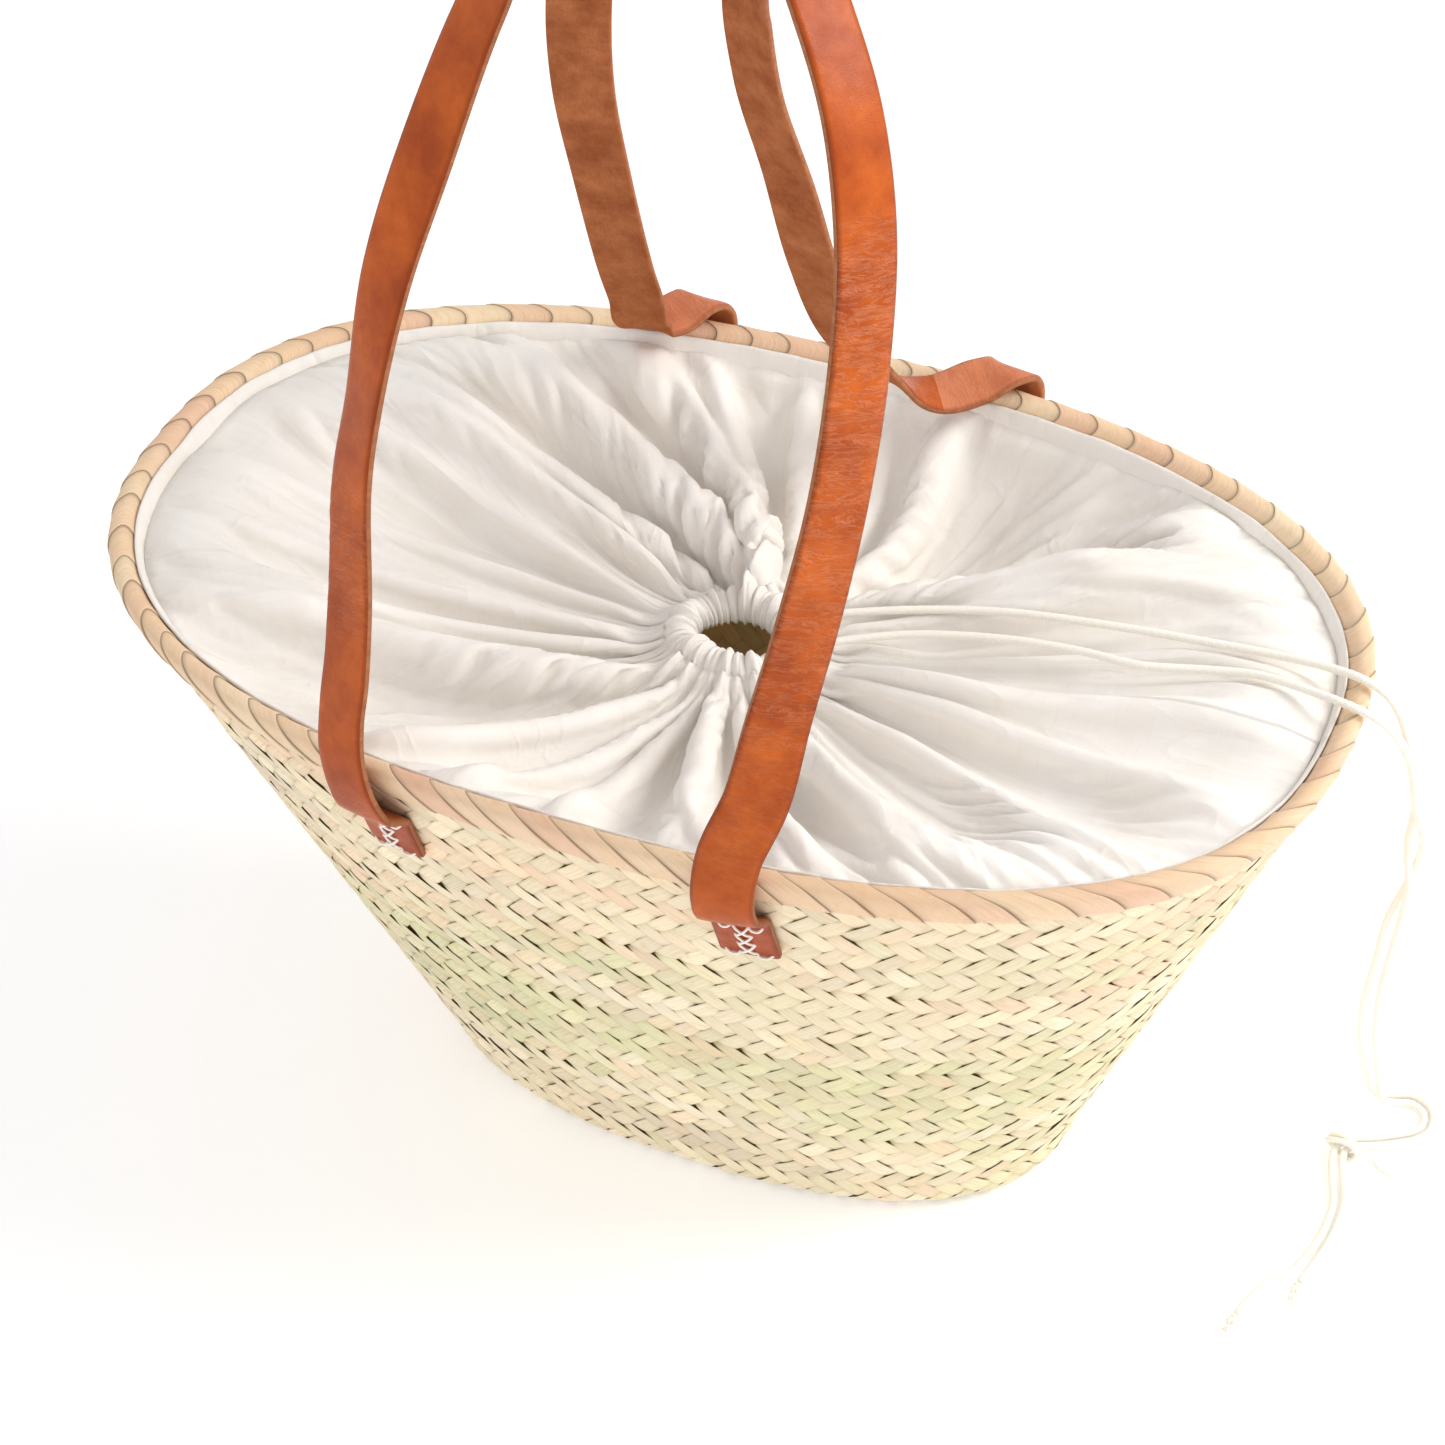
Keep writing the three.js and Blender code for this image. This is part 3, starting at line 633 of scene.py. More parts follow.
LEAF_ALONG = np.array((-1, -0.86, -0.68, -0.4, 0, 0.4, 0.68, 0.86, 1))
LEAF_ACROSS = np.array((-1, -0.72, 0, 0.72, 1))
LEAF_TUCK = 2.3        # how far the ends run under their neighbours
LEAF_RISE = 0.55       # the middle of a float above the face of the CAD piece
LEAF_DIVE = 1.3        # the ends below the middle
LEAF_FULL = 1.07       # width of a leaf over the width of its place
# painted shade: the leaves inside the basket are darkened towards brown
INSIDE_PAINTED_SHADE = np.array((0.8, 0.72, 0.6))


def leaf_shade():
    """Shade over one leaf: darker at the ends that run under the neighbours, and a little along its edges."""
    a, b = (np.abs(g.ravel()) for g in np.meshgrid(LEAF_ALONG, LEAF_ACROSS, indexing="ij"))
    share = 0.42 * np.clip((a - 0.6) / 0.4, 0, 1) ** 1.3 + 0.14 * np.clip((b - 0.7) / 0.3, 0, 1)
    return 1 - share[:, None] * np.array((0.85, 0.95, 1.25))


def leaf_colors(turn, height, row, inside):
    """The tint of every vertex of a row of leaves, with the painted shade of leaf_shade and, for leaves
    inside the basket, a darker brown painted shade.
    """
    tone = leaf_tint(turn, height, row)
    if inside:
        tone = tone * INSIDE_PAINTED_SHADE
    return tone[:, None] * leaf_shade()[None]


def leaf_tiles(along_at, up_at, lean, pitch, pitch_up):
    """Floats of a 2/2 twill: distance along the row, distance up it, lift and uv, one row a tile."""
    count = len(along_at)
    width = pitch / math.sqrt(2)
    a, b = (g.ravel() for g in np.meshgrid(LEAF_ALONG, LEAF_ACROSS, indexing="ij"))
    half_long = (width + LEAF_TUCK) * (1 + random.normal(0, 0.02, count))[:, None]
    half_wide = (width / 2 * LEAF_FULL) * (1 + random.normal(0, 0.035, count))[:, None]
    along = a[None] * half_long
    across = b[None] * half_wide * (1 - 0.2 * np.abs(a[None]) ** 5)
    turn = (math.pi / 4 * lean + random.normal(0, 0.035, count))[:, None]
    s = along * np.cos(turn) - across * np.sin(turn) + random.normal(0, 0.18, count)[:, None]
    t = along * np.sin(turn) + across * np.cos(turn) + random.normal(0, 0.18, count)[:, None]
    rise = LEAF_RISE + random.normal(0, 0.1, count)[:, None]
    lift = rise - LEAF_DIVE * np.abs(a[None]) ** 2.6 - 0.35 * b[None] ** 2
    lift = lift + b[None] * random.normal(0, 0.12, count)[:, None]
    lift = lift + a[None] * random.normal(0, 0.15, count)[:, None]
    start = random.random((count, 2)) * 400
    uv = np.stack([start[:, :1] + along, start[:, 1:] + across], -1)
    return along_at[:, None] + s, up_at[:, None] + t * pitch_up / pitch, lift, uv


def tile_faces(count):
    tile = grid_faces(len(LEAF_ALONG), len(LEAF_ACROSS))
    size = len(LEAF_ALONG) * len(LEAF_ACROSS)
    return (np.arange(count)[:, None, None] * size + tile[None]).reshape(-1, 4)


def plait_piece(name, replaced, rows, body, body_faces):
    """Rows of leaves and the plait's plain body as one piece. rows holds points, uv and colors by row."""
    points, uv, colors = (np.concatenate(part) for part in zip(*rows))
    leaf_faces = tile_faces(len(points)).tolist()
    points, uv, colors = points.reshape(-1, 3), uv.reshape(-1, 2), colors.reshape(-1, 3)
    faces = leaf_faces + [[len(points) + corner for corner in face] for face in body_faces]
    obj = mesh_object(
        name, np.vstack([points, body]), faces, [PALM, CORE],
        uv=np.vstack([uv, np.zeros((len(body), 2))]),
        colors=np.vstack([colors, np.full((len(body), 3), 0.1)]),
        slots=[0] * len(leaf_faces) + [1] * len(body_faces),
    )
    on_basket(obj, "palm_plait", replaced)


COURSE_PITCH = WALL_TOP / COURSES
FOOT_ROW_FROM = FOOT_ARC * 0.35     # where the lowest course begins, up along the foot's arc
INSIDE_FROM = FOOT_ARC * 0.55       # the leaves inside start higher
BODY_OUTER, BODY_INNER = -1.75, -3.25    # the faces of the plait's body, as lifts from its outer face


def wall_body(ring, low, high, steps=160, levels=8):
    """A closed thin ring: the body of the plait behind its leaves."""
    turn = np.linspace(0, 1, steps, endpoint=False)
    up = np.linspace(low, high, levels)
    t = np.r_[up, up[::-1]]
    lift = np.r_[np.full(levels, BODY_OUTER), np.full(levels, BODY_INNER)]
    points = on_wall(ring, turn[:, None], t[None], lift[None])
    return points.reshape(-1, 3), grid_faces(steps, 2 * levels, True, True).tolist()


def wall_weave(number):
    """One sewn course of the wall: leaves outside and inside and the plait's body between."""
    ring = Ring((number + 0.5) * COURSE_PITCH)
    low = FOOT_ROW_FROM if number == 0 else FOOT_ARC + number * COURSE_PITCH - FOOT_ROUND
    high = FOOT_ARC + (number + 1) * COURSE_PITCH - FOOT_ROUND
    highest = FOOT_ARC + WALL_TOP - FOOT_ROUND + 4
    pitch_up = (high - low) / COURSE_ROWS
    count = round(ring.length / LEAF_PITCH)
    pitch = ring.length / count
    phase = random.random()
    rows = []
    for inside in (False, True):
        lowest = INSIDE_FROM if inside else 0.0
        for row in range(COURSE_ROWS):
            wall_row = row + number * COURSE_ROWS
            parity = wall_row % 2
            along_at = (np.arange(count) + 0.5 * parity + phase) * pitch
            up_at = np.full(count, low + (row + 0.5) * pitch_up)
            s, t, lift, uv = leaf_tiles(along_at, up_at, -1 if parity else 1, pitch, pitch_up)
            lift = -PLAIT - lift if inside else lift
            points = on_wall(ring, s / ring.length, np.clip(t, lowest, highest), lift)
            height = (low + row * pitch_up) / WALL_TOP
            rows.append((points, uv, leaf_colors(along_at / ring.length, height, wall_row, inside)))
    body, body_faces = wall_body(ring, low + (4 if number == 0 else -1), high + 1)
    plait_piece(f"wall_weave_{number + 1}", f"wall_plait_{number + 1}", rows, body, body_faces)


def base_body(half_x, half_y, steps=96, low=2.2, high=3.4):
    """A thin oval disc: the body of the base between its leaves."""
    angle = np.linspace(0, 2 * np.pi, steps, endpoint=False)
    x, y = oval(half_x, half_y, angle)
    rings = [np.stack([x, y, np.full(steps, z)], 1) for z in (low, high)]
    n = np.arange(steps)
    m = (n + 1) % steps
    below = np.stack([m, n, np.full(steps, 2 * steps)], 1)
    above = np.stack([steps + n, steps + m, np.full(steps, 2 * steps + 1)], 1)
    edge = np.stack([n, m, steps + m, steps + n], 1)
    faces = below.tolist() + above.tolist() + edge.tolist()
    return np.vstack([*rings, ((0, 0, low), (0, 0, high))]), faces


BASE_ROWS, BASE_COLUMNS = 7, 14      # to each side of the middle, before the oval trims them


def base_weave():
    """The flat plait of the base, leaves below and above a thin body."""
    half_x, half_y = (float(h) for h in half_axes(FOOT_ROUND))
    reach_x, reach_y = half_x - FOOT_ROUND - 4, half_y - FOOT_ROUND - 4
    rows = []
    for upper in (False, True):
        for row in range(-BASE_ROWS, BASE_ROWS + 1):
            parity = row % 2
            along_at = (np.arange(-BASE_COLUMNS, BASE_COLUMNS + 1) + 0.5 * parity) * LEAF_PITCH
            y = row * LEAF_PITCH
            inside = (np.abs(along_at) / reach_x) ** OVAL_POWER + (abs(y) / reach_y) ** OVAL_POWER < 1
            along_at = along_at[inside]
            if not len(along_at):
                continue
            up_at = np.full(len(along_at), y)
            s, t, lift, uv = leaf_tiles(along_at, up_at, -1 if parity else 1, LEAF_PITCH, LEAF_PITCH)
            z = PLAIT + lift - 0.6 if upper else np.maximum(1.0 - lift, FLOOR_GAP)
            colors = leaf_colors(along_at / 400 + 0.5, 0.1, row + 40, upper)
            rows.append((np.stack([s, t, z], -1), uv, colors))
    body, body_faces = base_body(half_x - FOOT_ROUND + 6, half_y - FOOT_ROUND + 6)
    plait_piece("base_weave", "base_plait", rows, body, body_faces)


for course in range(COURSES):
    wall_weave(course)
base_weave()


# ---------------------------------------------------------------- the whipped rim

WRAPS = 74
WRAP_STEPS = np.array((0, 0.025, 0.1, 0.25, 0.45, 0.65, 0.82, 0.93, 0.985))
RIM_SECTION_POWER = 2.6
RIM_SECTION_POINTS = 26
RIM_TINTS = [np.array(rgb(*c)) for c in ((236, 204, 168), (243, 222, 188), (232, 190, 162))]


def rim_section(half_wide, half_high, sigma):
    c, s = np.cos(sigma), np.sin(sigma)
    power = 2 / RIM_SECTION_POWER
    return half_wide * np.sign(c) * np.abs(c) ** power, half_high * np.sign(s) * np.abs(s) ** power


def wrap_tints(wrap_of, lap):
    """Each wrap has a tone of its own, with painted shade where it comes out from under the last one."""
    peach, cream, pink = RIM_TINTS
    pick = 0.45 + 0.5 * wander(np.arange(WRAPS) / WRAPS, 900, 9) + random.normal(0, 0.2, WRAPS)
    pick = np.clip(pick, 0, 1)[:, None]
    blush = np.clip(random.normal(0.1, 0.35, WRAPS), 0, 0.8)[:, None]
    tone = (peach * pick + cream * (1 - pick)) * (1 - blush) + pink * blush
    shade = 1 - 0.5 * np.exp(-lap / 0.035) - 0.18 * np.exp(-lap / 0.12)
    return tone[wrap_of] * shade[:, None]


def rim_wraps():
    """Leaf wound slantwise round the rim, each turn lapping over the next."""
    ring = Ring(RIM_ROOF)
    half_high = RIM_HEIGHT / 2
    half_wide = (PLAIT + 2 * EDGE_INSET) / 2
    sigma = np.linspace(0, 2 * np.pi, RIM_SECTION_POINTS, endpoint=False)
    across, upright = rim_section(half_wide, half_high, sigma)
    phase = (np.arange(WRAPS)[:, None] + WRAP_STEPS[None]).ravel()
    lap = np.tile(WRAP_STEPS, WRAPS)
    wrap_of = np.repeat(np.arange(WRAPS), len(WRAP_STEPS))
    jitter = random.normal(0, 0.09, WRAPS + 1)
    jitter[-1] = jitter[0]
    phase = phase + jitter[wrap_of] * (1 - lap) + jitter[wrap_of + 1] * lap
    wide = 1 + 0.12 * random.normal(0, 1, WRAPS)[wrap_of]
    # the turns lean: the outer lower edge is further round than the inner upper one
    slant = 0.34 * across / half_wide - 0.42 * upright / half_high + 0.05 * np.sin(2 * sigma)
    turn = (phase[:, None] + slant[None]) / WRAPS
    raised = (0.75 * lap ** 0.8 - 0.25 * np.exp(-((lap - 0.5) / 0.3) ** 2)) * wide
    grow = raised[:, None] * np.clip(1.15 - 0.35 * np.abs(upright) / half_high, 0.5, 1)[None] - 0.2
    out = across[None] * (1 + grow / half_wide)
    z = HEIGHT - half_high + upright[None] * (1 + grow / half_high * 0.6)
    half_x, half_y = half_axes(z)
    offset = out + EDGE_INSET - half_wide
    x, y = oval(half_x + offset, half_y + offset, ring.angle(turn))
    points = np.stack([x, y, np.minimum(z, HEIGHT + 0.6)], -1)
    girth = np.r_[0, np.cumsum(np.hypot(np.diff(across), np.diff(upright)))]
    start = (wrap_of * 37.0)[:, None]
    along = lap[:, None] * ring.length / WRAPS + start
    uv = np.stack(np.broadcast_arrays(girth[None] + start, along), -1)
    tint = np.repeat(wrap_tints(wrap_of, lap)[:, None], RIM_SECTION_POINTS, 1)
    faces = grid_faces(len(phase), RIM_SECTION_POINTS, True, True)
    obj = mesh_object("rim_wraps", points, faces, [RIM_LEAF], uv, tint)
    on_basket(obj, "palm_rim", "rim_whipping")


rim_wraps()


# ---------------------------------------------------------------- the gathered closure

CLOTH_ROUND = 720           # points of the cloth round the hub
LIP_ROWS = 10               # rows of the cloth that run over the casing, from inside the hole outwards
CLOTH_DOWN = LIP_ROWS + 54
CLOTH_LENGTH = 1330         # the cloth laid flat, along the rim
EDGE_Z = 283.5              # the cloth's edge, on the inside of the rim
CLOTH_INSET = PLAIT + EDGE_INSET + 2.6      # the wall's outer face to the cloth, inside the hem
LIP_ACROSS, LIP_UP = 6.5, 6.2               # half axes of the lip's section
CHANNEL_ACROSS, CHANNEL_UP = 5.2, 4.9       # the same of the casing under it
HUB_RING = (CASING_LENGTH / 2 + LIP_ACROSS, CASING_DEPTH / 2 + LIP_ACROSS)
LIP_START = 208             # degrees round that section, where the cloth starts inside the hole
HOLLOW, HOLLOW_AT_BACK = 24, 12             # how far the cloth sags, and how much further behind the hub
FOLD_DEPTH = 2.6
CLOTH_TOP = 288.0
CLOTH_THICK = 0.0007        # metres

# The folds that can be told apart, as bearings from the hub in degrees: where the crest meets the rim,
# its middle and its inner end, then its height and the widths of its two sides, towards smaller and
# larger bearings.
FOLDS = [
    (171, 164, 168, 9, 9, 4), (180, 177, 176, 6, 6, 2.5), (182, 183, 184, 6, 3, 4), (189, 189, 192, 5, 5, 3),
    (196, 209, 232, 12, 11, 5), (203, 199, 203, 5, 4, 3), (233, 238, 246, 9, 6, 5), (246, 252, 258, 6, 3, 4),
    (265, 264, 268, 6, 4, 5), (286, 284, 280, 10, 6, 6), (303, 300, 292, 8, 7, 5), (318, 314, 306, 14, 4, 13),
    (333, 337, 335, 8, 4, 6), (348, 350, 350, 8, 4, 7), (2, 358, 352, 9, 4, 8), (12, 11, 14, 5, 5, 4),
    (29, 26, 28, 8, 8, 5), (35, 31, 60, 15, 13, 6), (52, 50, 62, 4, 6, 5), (75, 70, 68, 9, 3, 7),
    (88, 84, 80, 6, 4, 4), (102, 98, 88, 8, 4, 5), (118, 110, 98, 7, 3, 6), (131, 116, 104, 9, 7, 3),
    (149, 132, 104, 15, 13, 6), (158, 149, 122, 9, 6, 5), (163, 154, 140, 7, 4, 4),
]
# Puffs of loose cloth: bearing, share of the way from hub to rim, height, half width in degrees, half length
PUFFS = [
    (243, 0.9, 6, 5, 0.09), (254, 0.9, 8, 5, 0.1), (264, 0.91, 7, 4, 0.08), (288, 0.88, 7, 6, 0.12),
    (306, 0.8, 8, 8, 0.2), (152, 0.84, 5, 7, 0.12), (100, 0.03, 5, 6, 0.05), (20, 0.08, 6, 9, 0.09),
    (2, 0.1, 5, 6, 0.08), (42, 0.06, 5, 7, 0.07),
]


def smooth_noise(count_round, count_down, seed, scale_round, scale_down, waves=14):
    """A smooth random field that closes on itself round the hub."""
    source = np.random.default_rng(seed)
    u = np.arange(count_round) / count_round
    v = np.linspace(0, 1, count_down)
    field = np.zeros((count_down, count_round))
    for _ in range(waves):
        k = source.integers(scale_round // 4, scale_round + 1)
        m = source.uniform(0, scale_down)
        start, across = source.random(2) * 2 * np.pi
        field += np.cos(2 * np.pi * k * u[None] + start + 2.5 * np.cos(m * v[:, None] + across))
    return field / waves ** 0.5


def ruche(angle):
    """The small gathers of the cloth on its drawstring, -1 to 1."""
    return np.sin(31 * angle + 2.6 * np.sin(3 * angle) + 1.4 * np.sin(5 * angle))


def hole_bulge(angle):
    """How far the gathered hole lies outside a true oval."""
    return 1.2 * np.cos(2 * angle + 0.6) + 0.9 * np.cos(3 * angle + 2)


def fold_height(bearing, share):
    """How far the folds lift the cloth at a bearing in degrees and a share of the way to the rim."""
    height = np.zeros(np.broadcast(bearing, share).shape)
    rising = np.clip((1 - share) / 0.1, 0, 1) ** 0.8 * np.clip(share / 0.35, 0.12, 1) ** 0.7
    for rim, middle, inner, crest, low, high in FOLDS:
        middle, inner = (a + 360 * np.round((rim - a) / 360) for a in (middle, inner))
        bend = 2 * rim + 2 * inner - 4 * middle
        line = inner + (4 * middle - rim - 3 * inner) * share + bend * share ** 2
        away = (bearing - line + 180) % 360 - 180
        width = np.where(away < 0, low, high)
        height += FOLD_DEPTH * crest * rising * np.exp(-np.abs(away / width) ** 1.2)
    for where, at, puff, wide, long in PUFFS:
        away = (bearing - where + 180) % 360 - 180
        height += puff * np.exp(-(away / wide) ** 4 - ((share - at) / long) ** 2)
    return height


def dish(angle, share, bearing):
    """Height of the cloth between hub and rim: a shallow dish, deeper at the back, with its folds."""
    edge = EDGE_Z - 2.5 + 0.8 * np.cos(9 * angle) + 0.5 * np.cos(23 * angle + 1)
    at_back = np.clip(np.sin(bearing - 0.15), 0, 1) ** 0.7
    hollow = HOLLOW + HOLLOW_AT_BACK * at_back
    z = HUB_Z + (edge - HUB_Z) * share ** (1.1 + 1.5 * at_back)
    z = z - hollow * np.sin(np.pi * share ** 1.1) ** 0.6
    z = z + fold_height(np.degrees(bearing)[None], share)
    gathers = 2.6 * (1 - share) ** 2.2 * np.clip(share * 8 + 0.35, 0, 1)
    fine = smooth_noise(CLOTH_ROUND, CLOTH_DOWN - LIP_ROWS, 5, 60, 0.6) * np.sin(np.pi * share ** 0.7)
    return z + ruche(angle) * gathers + 1.3 * fine


def lip(angle, c, s, bearing):
    """The cloth over the casing, from inside the hole outwards. c and s point away from the hub."""
    sigma = np.linspace(np.radians(LIP_START), 0, LIP_ROWS, endpoint=False)[:, None]
    pucker = 1 + 0.1 * ruche(angle) + 0.05 * np.sin(67 * angle)
    out = LIP_ACROSS * np.cos(sigma) * pucker + hole_bulge(angle)
    x = HUB[0] + (CASING_LENGTH / 2 + out) * c
    y = HUB[1] + (CASING_DEPTH / 2 + out) * s
    ear = fold_height(np.degrees(bearing)[None], np.zeros((1, 1))) * np.clip(np.sin(sigma), 0, 1)
    z = HUB_Z + 0.4 + LIP_UP * np.sin(sigma) * pucker + 0.7 * ear
    return np.stack(np.broadcast_arrays(x, y, z), -1)


def first_cloth():
    """The cloth before it settles: over the casing, then out to the rim."""
    angle = np.linspace(0, 2 * np.pi, CLOTH_ROUND, endpoint=False)
    half_x, half_y = (float(h) for h in half_axes(EDGE_Z - 4))
    inset = PLAIT + EDGE_INSET + 1.2
    ring = Ring(EDGE_Z - 4, inset)
    rim_x, rim_y = oval(half_x - inset, half_y - inset, ring.angle(angle / (2 * np.pi)))
    bearing = np.unwrap(np.arctan2(rim_y - HUB[1], rim_x - HUB[0]))
    hub_bearing = 0.55 * bearing + 0.45 * (angle + bearing[0])
    c, s = np.cos(hub_bearing), np.sin(hub_bearing)
    hub_x, hub_y = HUB[0] + HUB_RING[0] * c, HUB[1] + HUB_RING[1] * s
    share = np.linspace(0, 1, CLOTH_DOWN - LIP_ROWS)[:, None] ** 1.15
    x = hub_x + (rim_x - hub_x) * share
    y = hub_y + (rim_y - hub_y) * share
    sheet = np.stack([x, y, dish(angle, share, bearing)], -1)
    sheet[..., 2] = np.minimum(sheet[..., 2], cord_ceiling(sheet))
    return np.concatenate([lip(angle, c, s, bearing), sheet])


SAG = 0.0022           # how far each step lets the cloth drop, and more with speed
PULL = 0.32            # share of the stretch that one step takes back
CARRY = 0.88           # share of its movement that the cloth keeps
LOWEST_CLOTH = 222


def stretch(step, rest, only_short=False):
    """Half the way by which a link is too long, or with only_short too short, as a vector."""
    length = np.linalg.norm(step, axis=-1)
    over = length - rest
    if only_short:
        over = np.minimum(over, 0)
    return step * (0.5 * over / np.maximum(length, 1e-6))[..., None]


def settle(start, steps):
    """Lets the cloth find its lengths: it buckles, sags and rests under the cords and inside the wall."""
    cloth = start.copy()
    rows = np.linspace(0, 1, CLOTH_DOWN)[:, None]
    fullness = 1.02 + 0.06 * np.sin(np.pi * rows)
    rest_around = np.linalg.norm(np.roll(start, -1, 1) - start, axis=-1) * fullness
    rest_down = np.linalg.norm(np.diff(start, axis=0), axis=-1) * 0.985
    rest_cross = np.hypot(rest_around[:-1], rest_down)
    from_rim = np.cumsum(rest_down[::-1], 0)[::-1]
    ceiling = cord_ceiling(cloth)
    ceiling[:-1] = np.minimum(ceiling[:-1], EDGE_Z - 1.5 + 0.5 * from_rim)
    before = cloth.copy()
    for _ in range(steps):
        push = np.zeros_like(cloth)
        pull = stretch(np.roll(cloth, -1, 1) - cloth, rest_around)
        push += pull - np.roll(pull, 1, 1)
        pull = stretch(np.diff(cloth, axis=0), rest_down)
        push[:-1] += pull
        push[1:] -= pull
        for way in (1, -1):
            pull = 0.35 * stretch(np.roll(cloth[1:], -way, 1) - cloth[:-1], rest_cross)
            push[:-1] += pull
            push[1:] -= np.roll(pull, way, 1)
        for reach, strength in ((2, 0.3), (4, 0.12)):
            rest = sum(np.roll(rest_around, -k, 1) for k in range(reach)) * 0.97
            pull = strength * stretch(np.roll(cloth, -reach, 1) - cloth, rest, True)
            push += pull - np.roll(pull, reach, 1)
        for reach in (3, 6):
            rest = sum(rest_down[k:len(rest_down) - reach + 1 + k] for k in range(reach)) * 0.99
            pull = 0.35 * stretch(cloth[reach:] - cloth[:-reach], rest, True)
            push[:-reach] += pull
            push[reach:] -= pull
        push[..., 2] -= SAG
        moved = cloth + PULL * push + CARRY * (cloth - before)
        before = cloth
        moved[..., 2] = np.clip(moved[..., 2], LOWEST_CLOTH, ceiling)
        half_x, half_y = (h - CLOTH_INSET for h in half_axes(moved[..., 2]))
        out = (np.abs(moved[..., 0]) / half_x) ** OVAL_POWER + (np.abs(moved[..., 1]) / half_y) ** OVAL_POWER
        moved[..., :2] /= np.maximum(out, 1)[..., None] ** (1 / OVAL_POWER)
        moved[:LIP_ROWS + 1], moved[-1] = start[:LIP_ROWS + 1], start[-1]
        cloth = moved
    return cloth


def cord_ceiling(cloth):
    """Highest z that the cloth may have: below the cords and not above the rim."""
    limit = np.full(cloth.shape[:2], CLOTH_TOP)
    for points in (STRAND_A, STRAND_B):
        line, _ = even(catmull(points[:9], 8, 0.5), 4.0)
        for x, y, z in line:
            away = np.hypot(cloth[..., 0] - x, cloth[..., 1] - y)
            limit = np.minimum(limit, z - CORD_DIAMETER / 2 - 0.7 + np.maximum(away - 3, 0) * 0.7)
    return limit


def closure_cloth():
    cloth = settle(first_cloth(), 90)
    round_at = np.arange(CLOTH_ROUND) * CLOTH_LENGTH / CLOTH_ROUND
    down_at = np.arange(CLOTH_DOWN) * 3.0
    uv = np.stack(np.broadcast_arrays(round_at[None], down_at[:, None]), -1)
    faces = grid_faces(CLOTH_DOWN, CLOTH_ROUND, closed_columns=True)
    obj = mesh_object("closure_cloth", cloth, faces, [COTTON], uv)
    thick = obj.modifiers.new("thickness", "SOLIDIFY")
    thick.thickness = CLOTH_THICK
    thick.offset = 0
    return on_basket(obj, "cotton_cloth", "closure_panel")


# Section of the hem: how far inside the rim's inner face and how far above the cloth's edge
HEM_SECTION = [
    (0.1, -8), (0.1, -2), (0.1, 2.6), (0.6, 3.6), (1.3, 3.4), (1.7, 2.2), (1.9, -1), (2.1, -4), (1.4, -8),
]


def edge_hem():
    """The folded edge of the cloth, tacked along the inside of the rim."""
    ring = Ring(EDGE_Z, PLAIT + EDGE_INSET)
    steps = 420
    turn = np.linspace(0, 1, steps, endpoint=False)
    wave = 0.35 * wander(turn, 31, 40) + 0.25 * wander(turn, 32, 90)
    rows = []
    for across, up in HEM_SECTION:
        z = EDGE_Z + up + wave * 1.1 * np.clip((up + 8) / 8, 0, 1)
        inset = PLAIT + EDGE_INSET + 0.2 + across + 0.3 * wave
        half_x, half_y = half_axes(z)
        x, y = oval(half_x - inset, half_y - inset, ring.angle(turn))
        rows.append(np.stack([x, y, z], -1))
    uv = np.stack(np.broadcast_arrays(turn[:, None] * ring.length, np.arange(len(rows))[None] * 2.0), -1)
    faces = grid_faces(steps, len(rows), True, True)
    return on_basket(mesh_object("closure_hem", np.stack(rows, 1), faces, [COTTON], uv), "cotton_cloth")


def casing_ruche():
    """The channel that holds the drawstring, drawn up into small ruches. The cloth runs over it."""
    steps, around = 420, 20
    angle = np.linspace(0, 2 * np.pi, steps, endpoint=False)[:, None]
    sigma = np.linspace(0, 2 * np.pi, around, endpoint=False)[None]
    swell = 1 + 0.08 * ruche(angle) * (0.6 + 0.4 * np.cos(sigma))
    out = CHANNEL_ACROSS * np.cos(sigma) * swell + hole_bulge(angle)
    x = HUB[0] + (CASING_LENGTH / 2 + out) * np.cos(angle)
    y = HUB[1] + (CASING_DEPTH / 2 + out) * np.sin(angle)
    z = HUB_Z + 0.2 + CHANNEL_UP * np.sin(sigma) * swell
    uv = np.stack(np.broadcast_arrays(angle * 200, sigma * 8), -1)
    faces = grid_faces(steps, around, True, True)
    obj = mesh_object("casing_ruche", np.stack([x, y, z], -1), faces, [COTTON], uv)
    return on_basket(obj, "cotton_cloth", "drawstring_casing")


cloth = closure_cloth()
hem = edge_hem()
casing = casing_ruche()


# ---------------------------------------------------------------- leather straps

FRONT_FEET = (-82, 75)
BACK_FEET = (-78, 69)
RIM_FACE = wall_depth(FRONT_FEET[0], RIM_ROOF) + EDGE_INSET
OUTSIDE = RIM_FACE + 5.8    # the middle of the leather where it passes the rim
TAB_LENGTH = 30
# the rolls take the painted-light copy of the grain
LOOP_LENGTH = 105           # the back strap's rolls over the rim

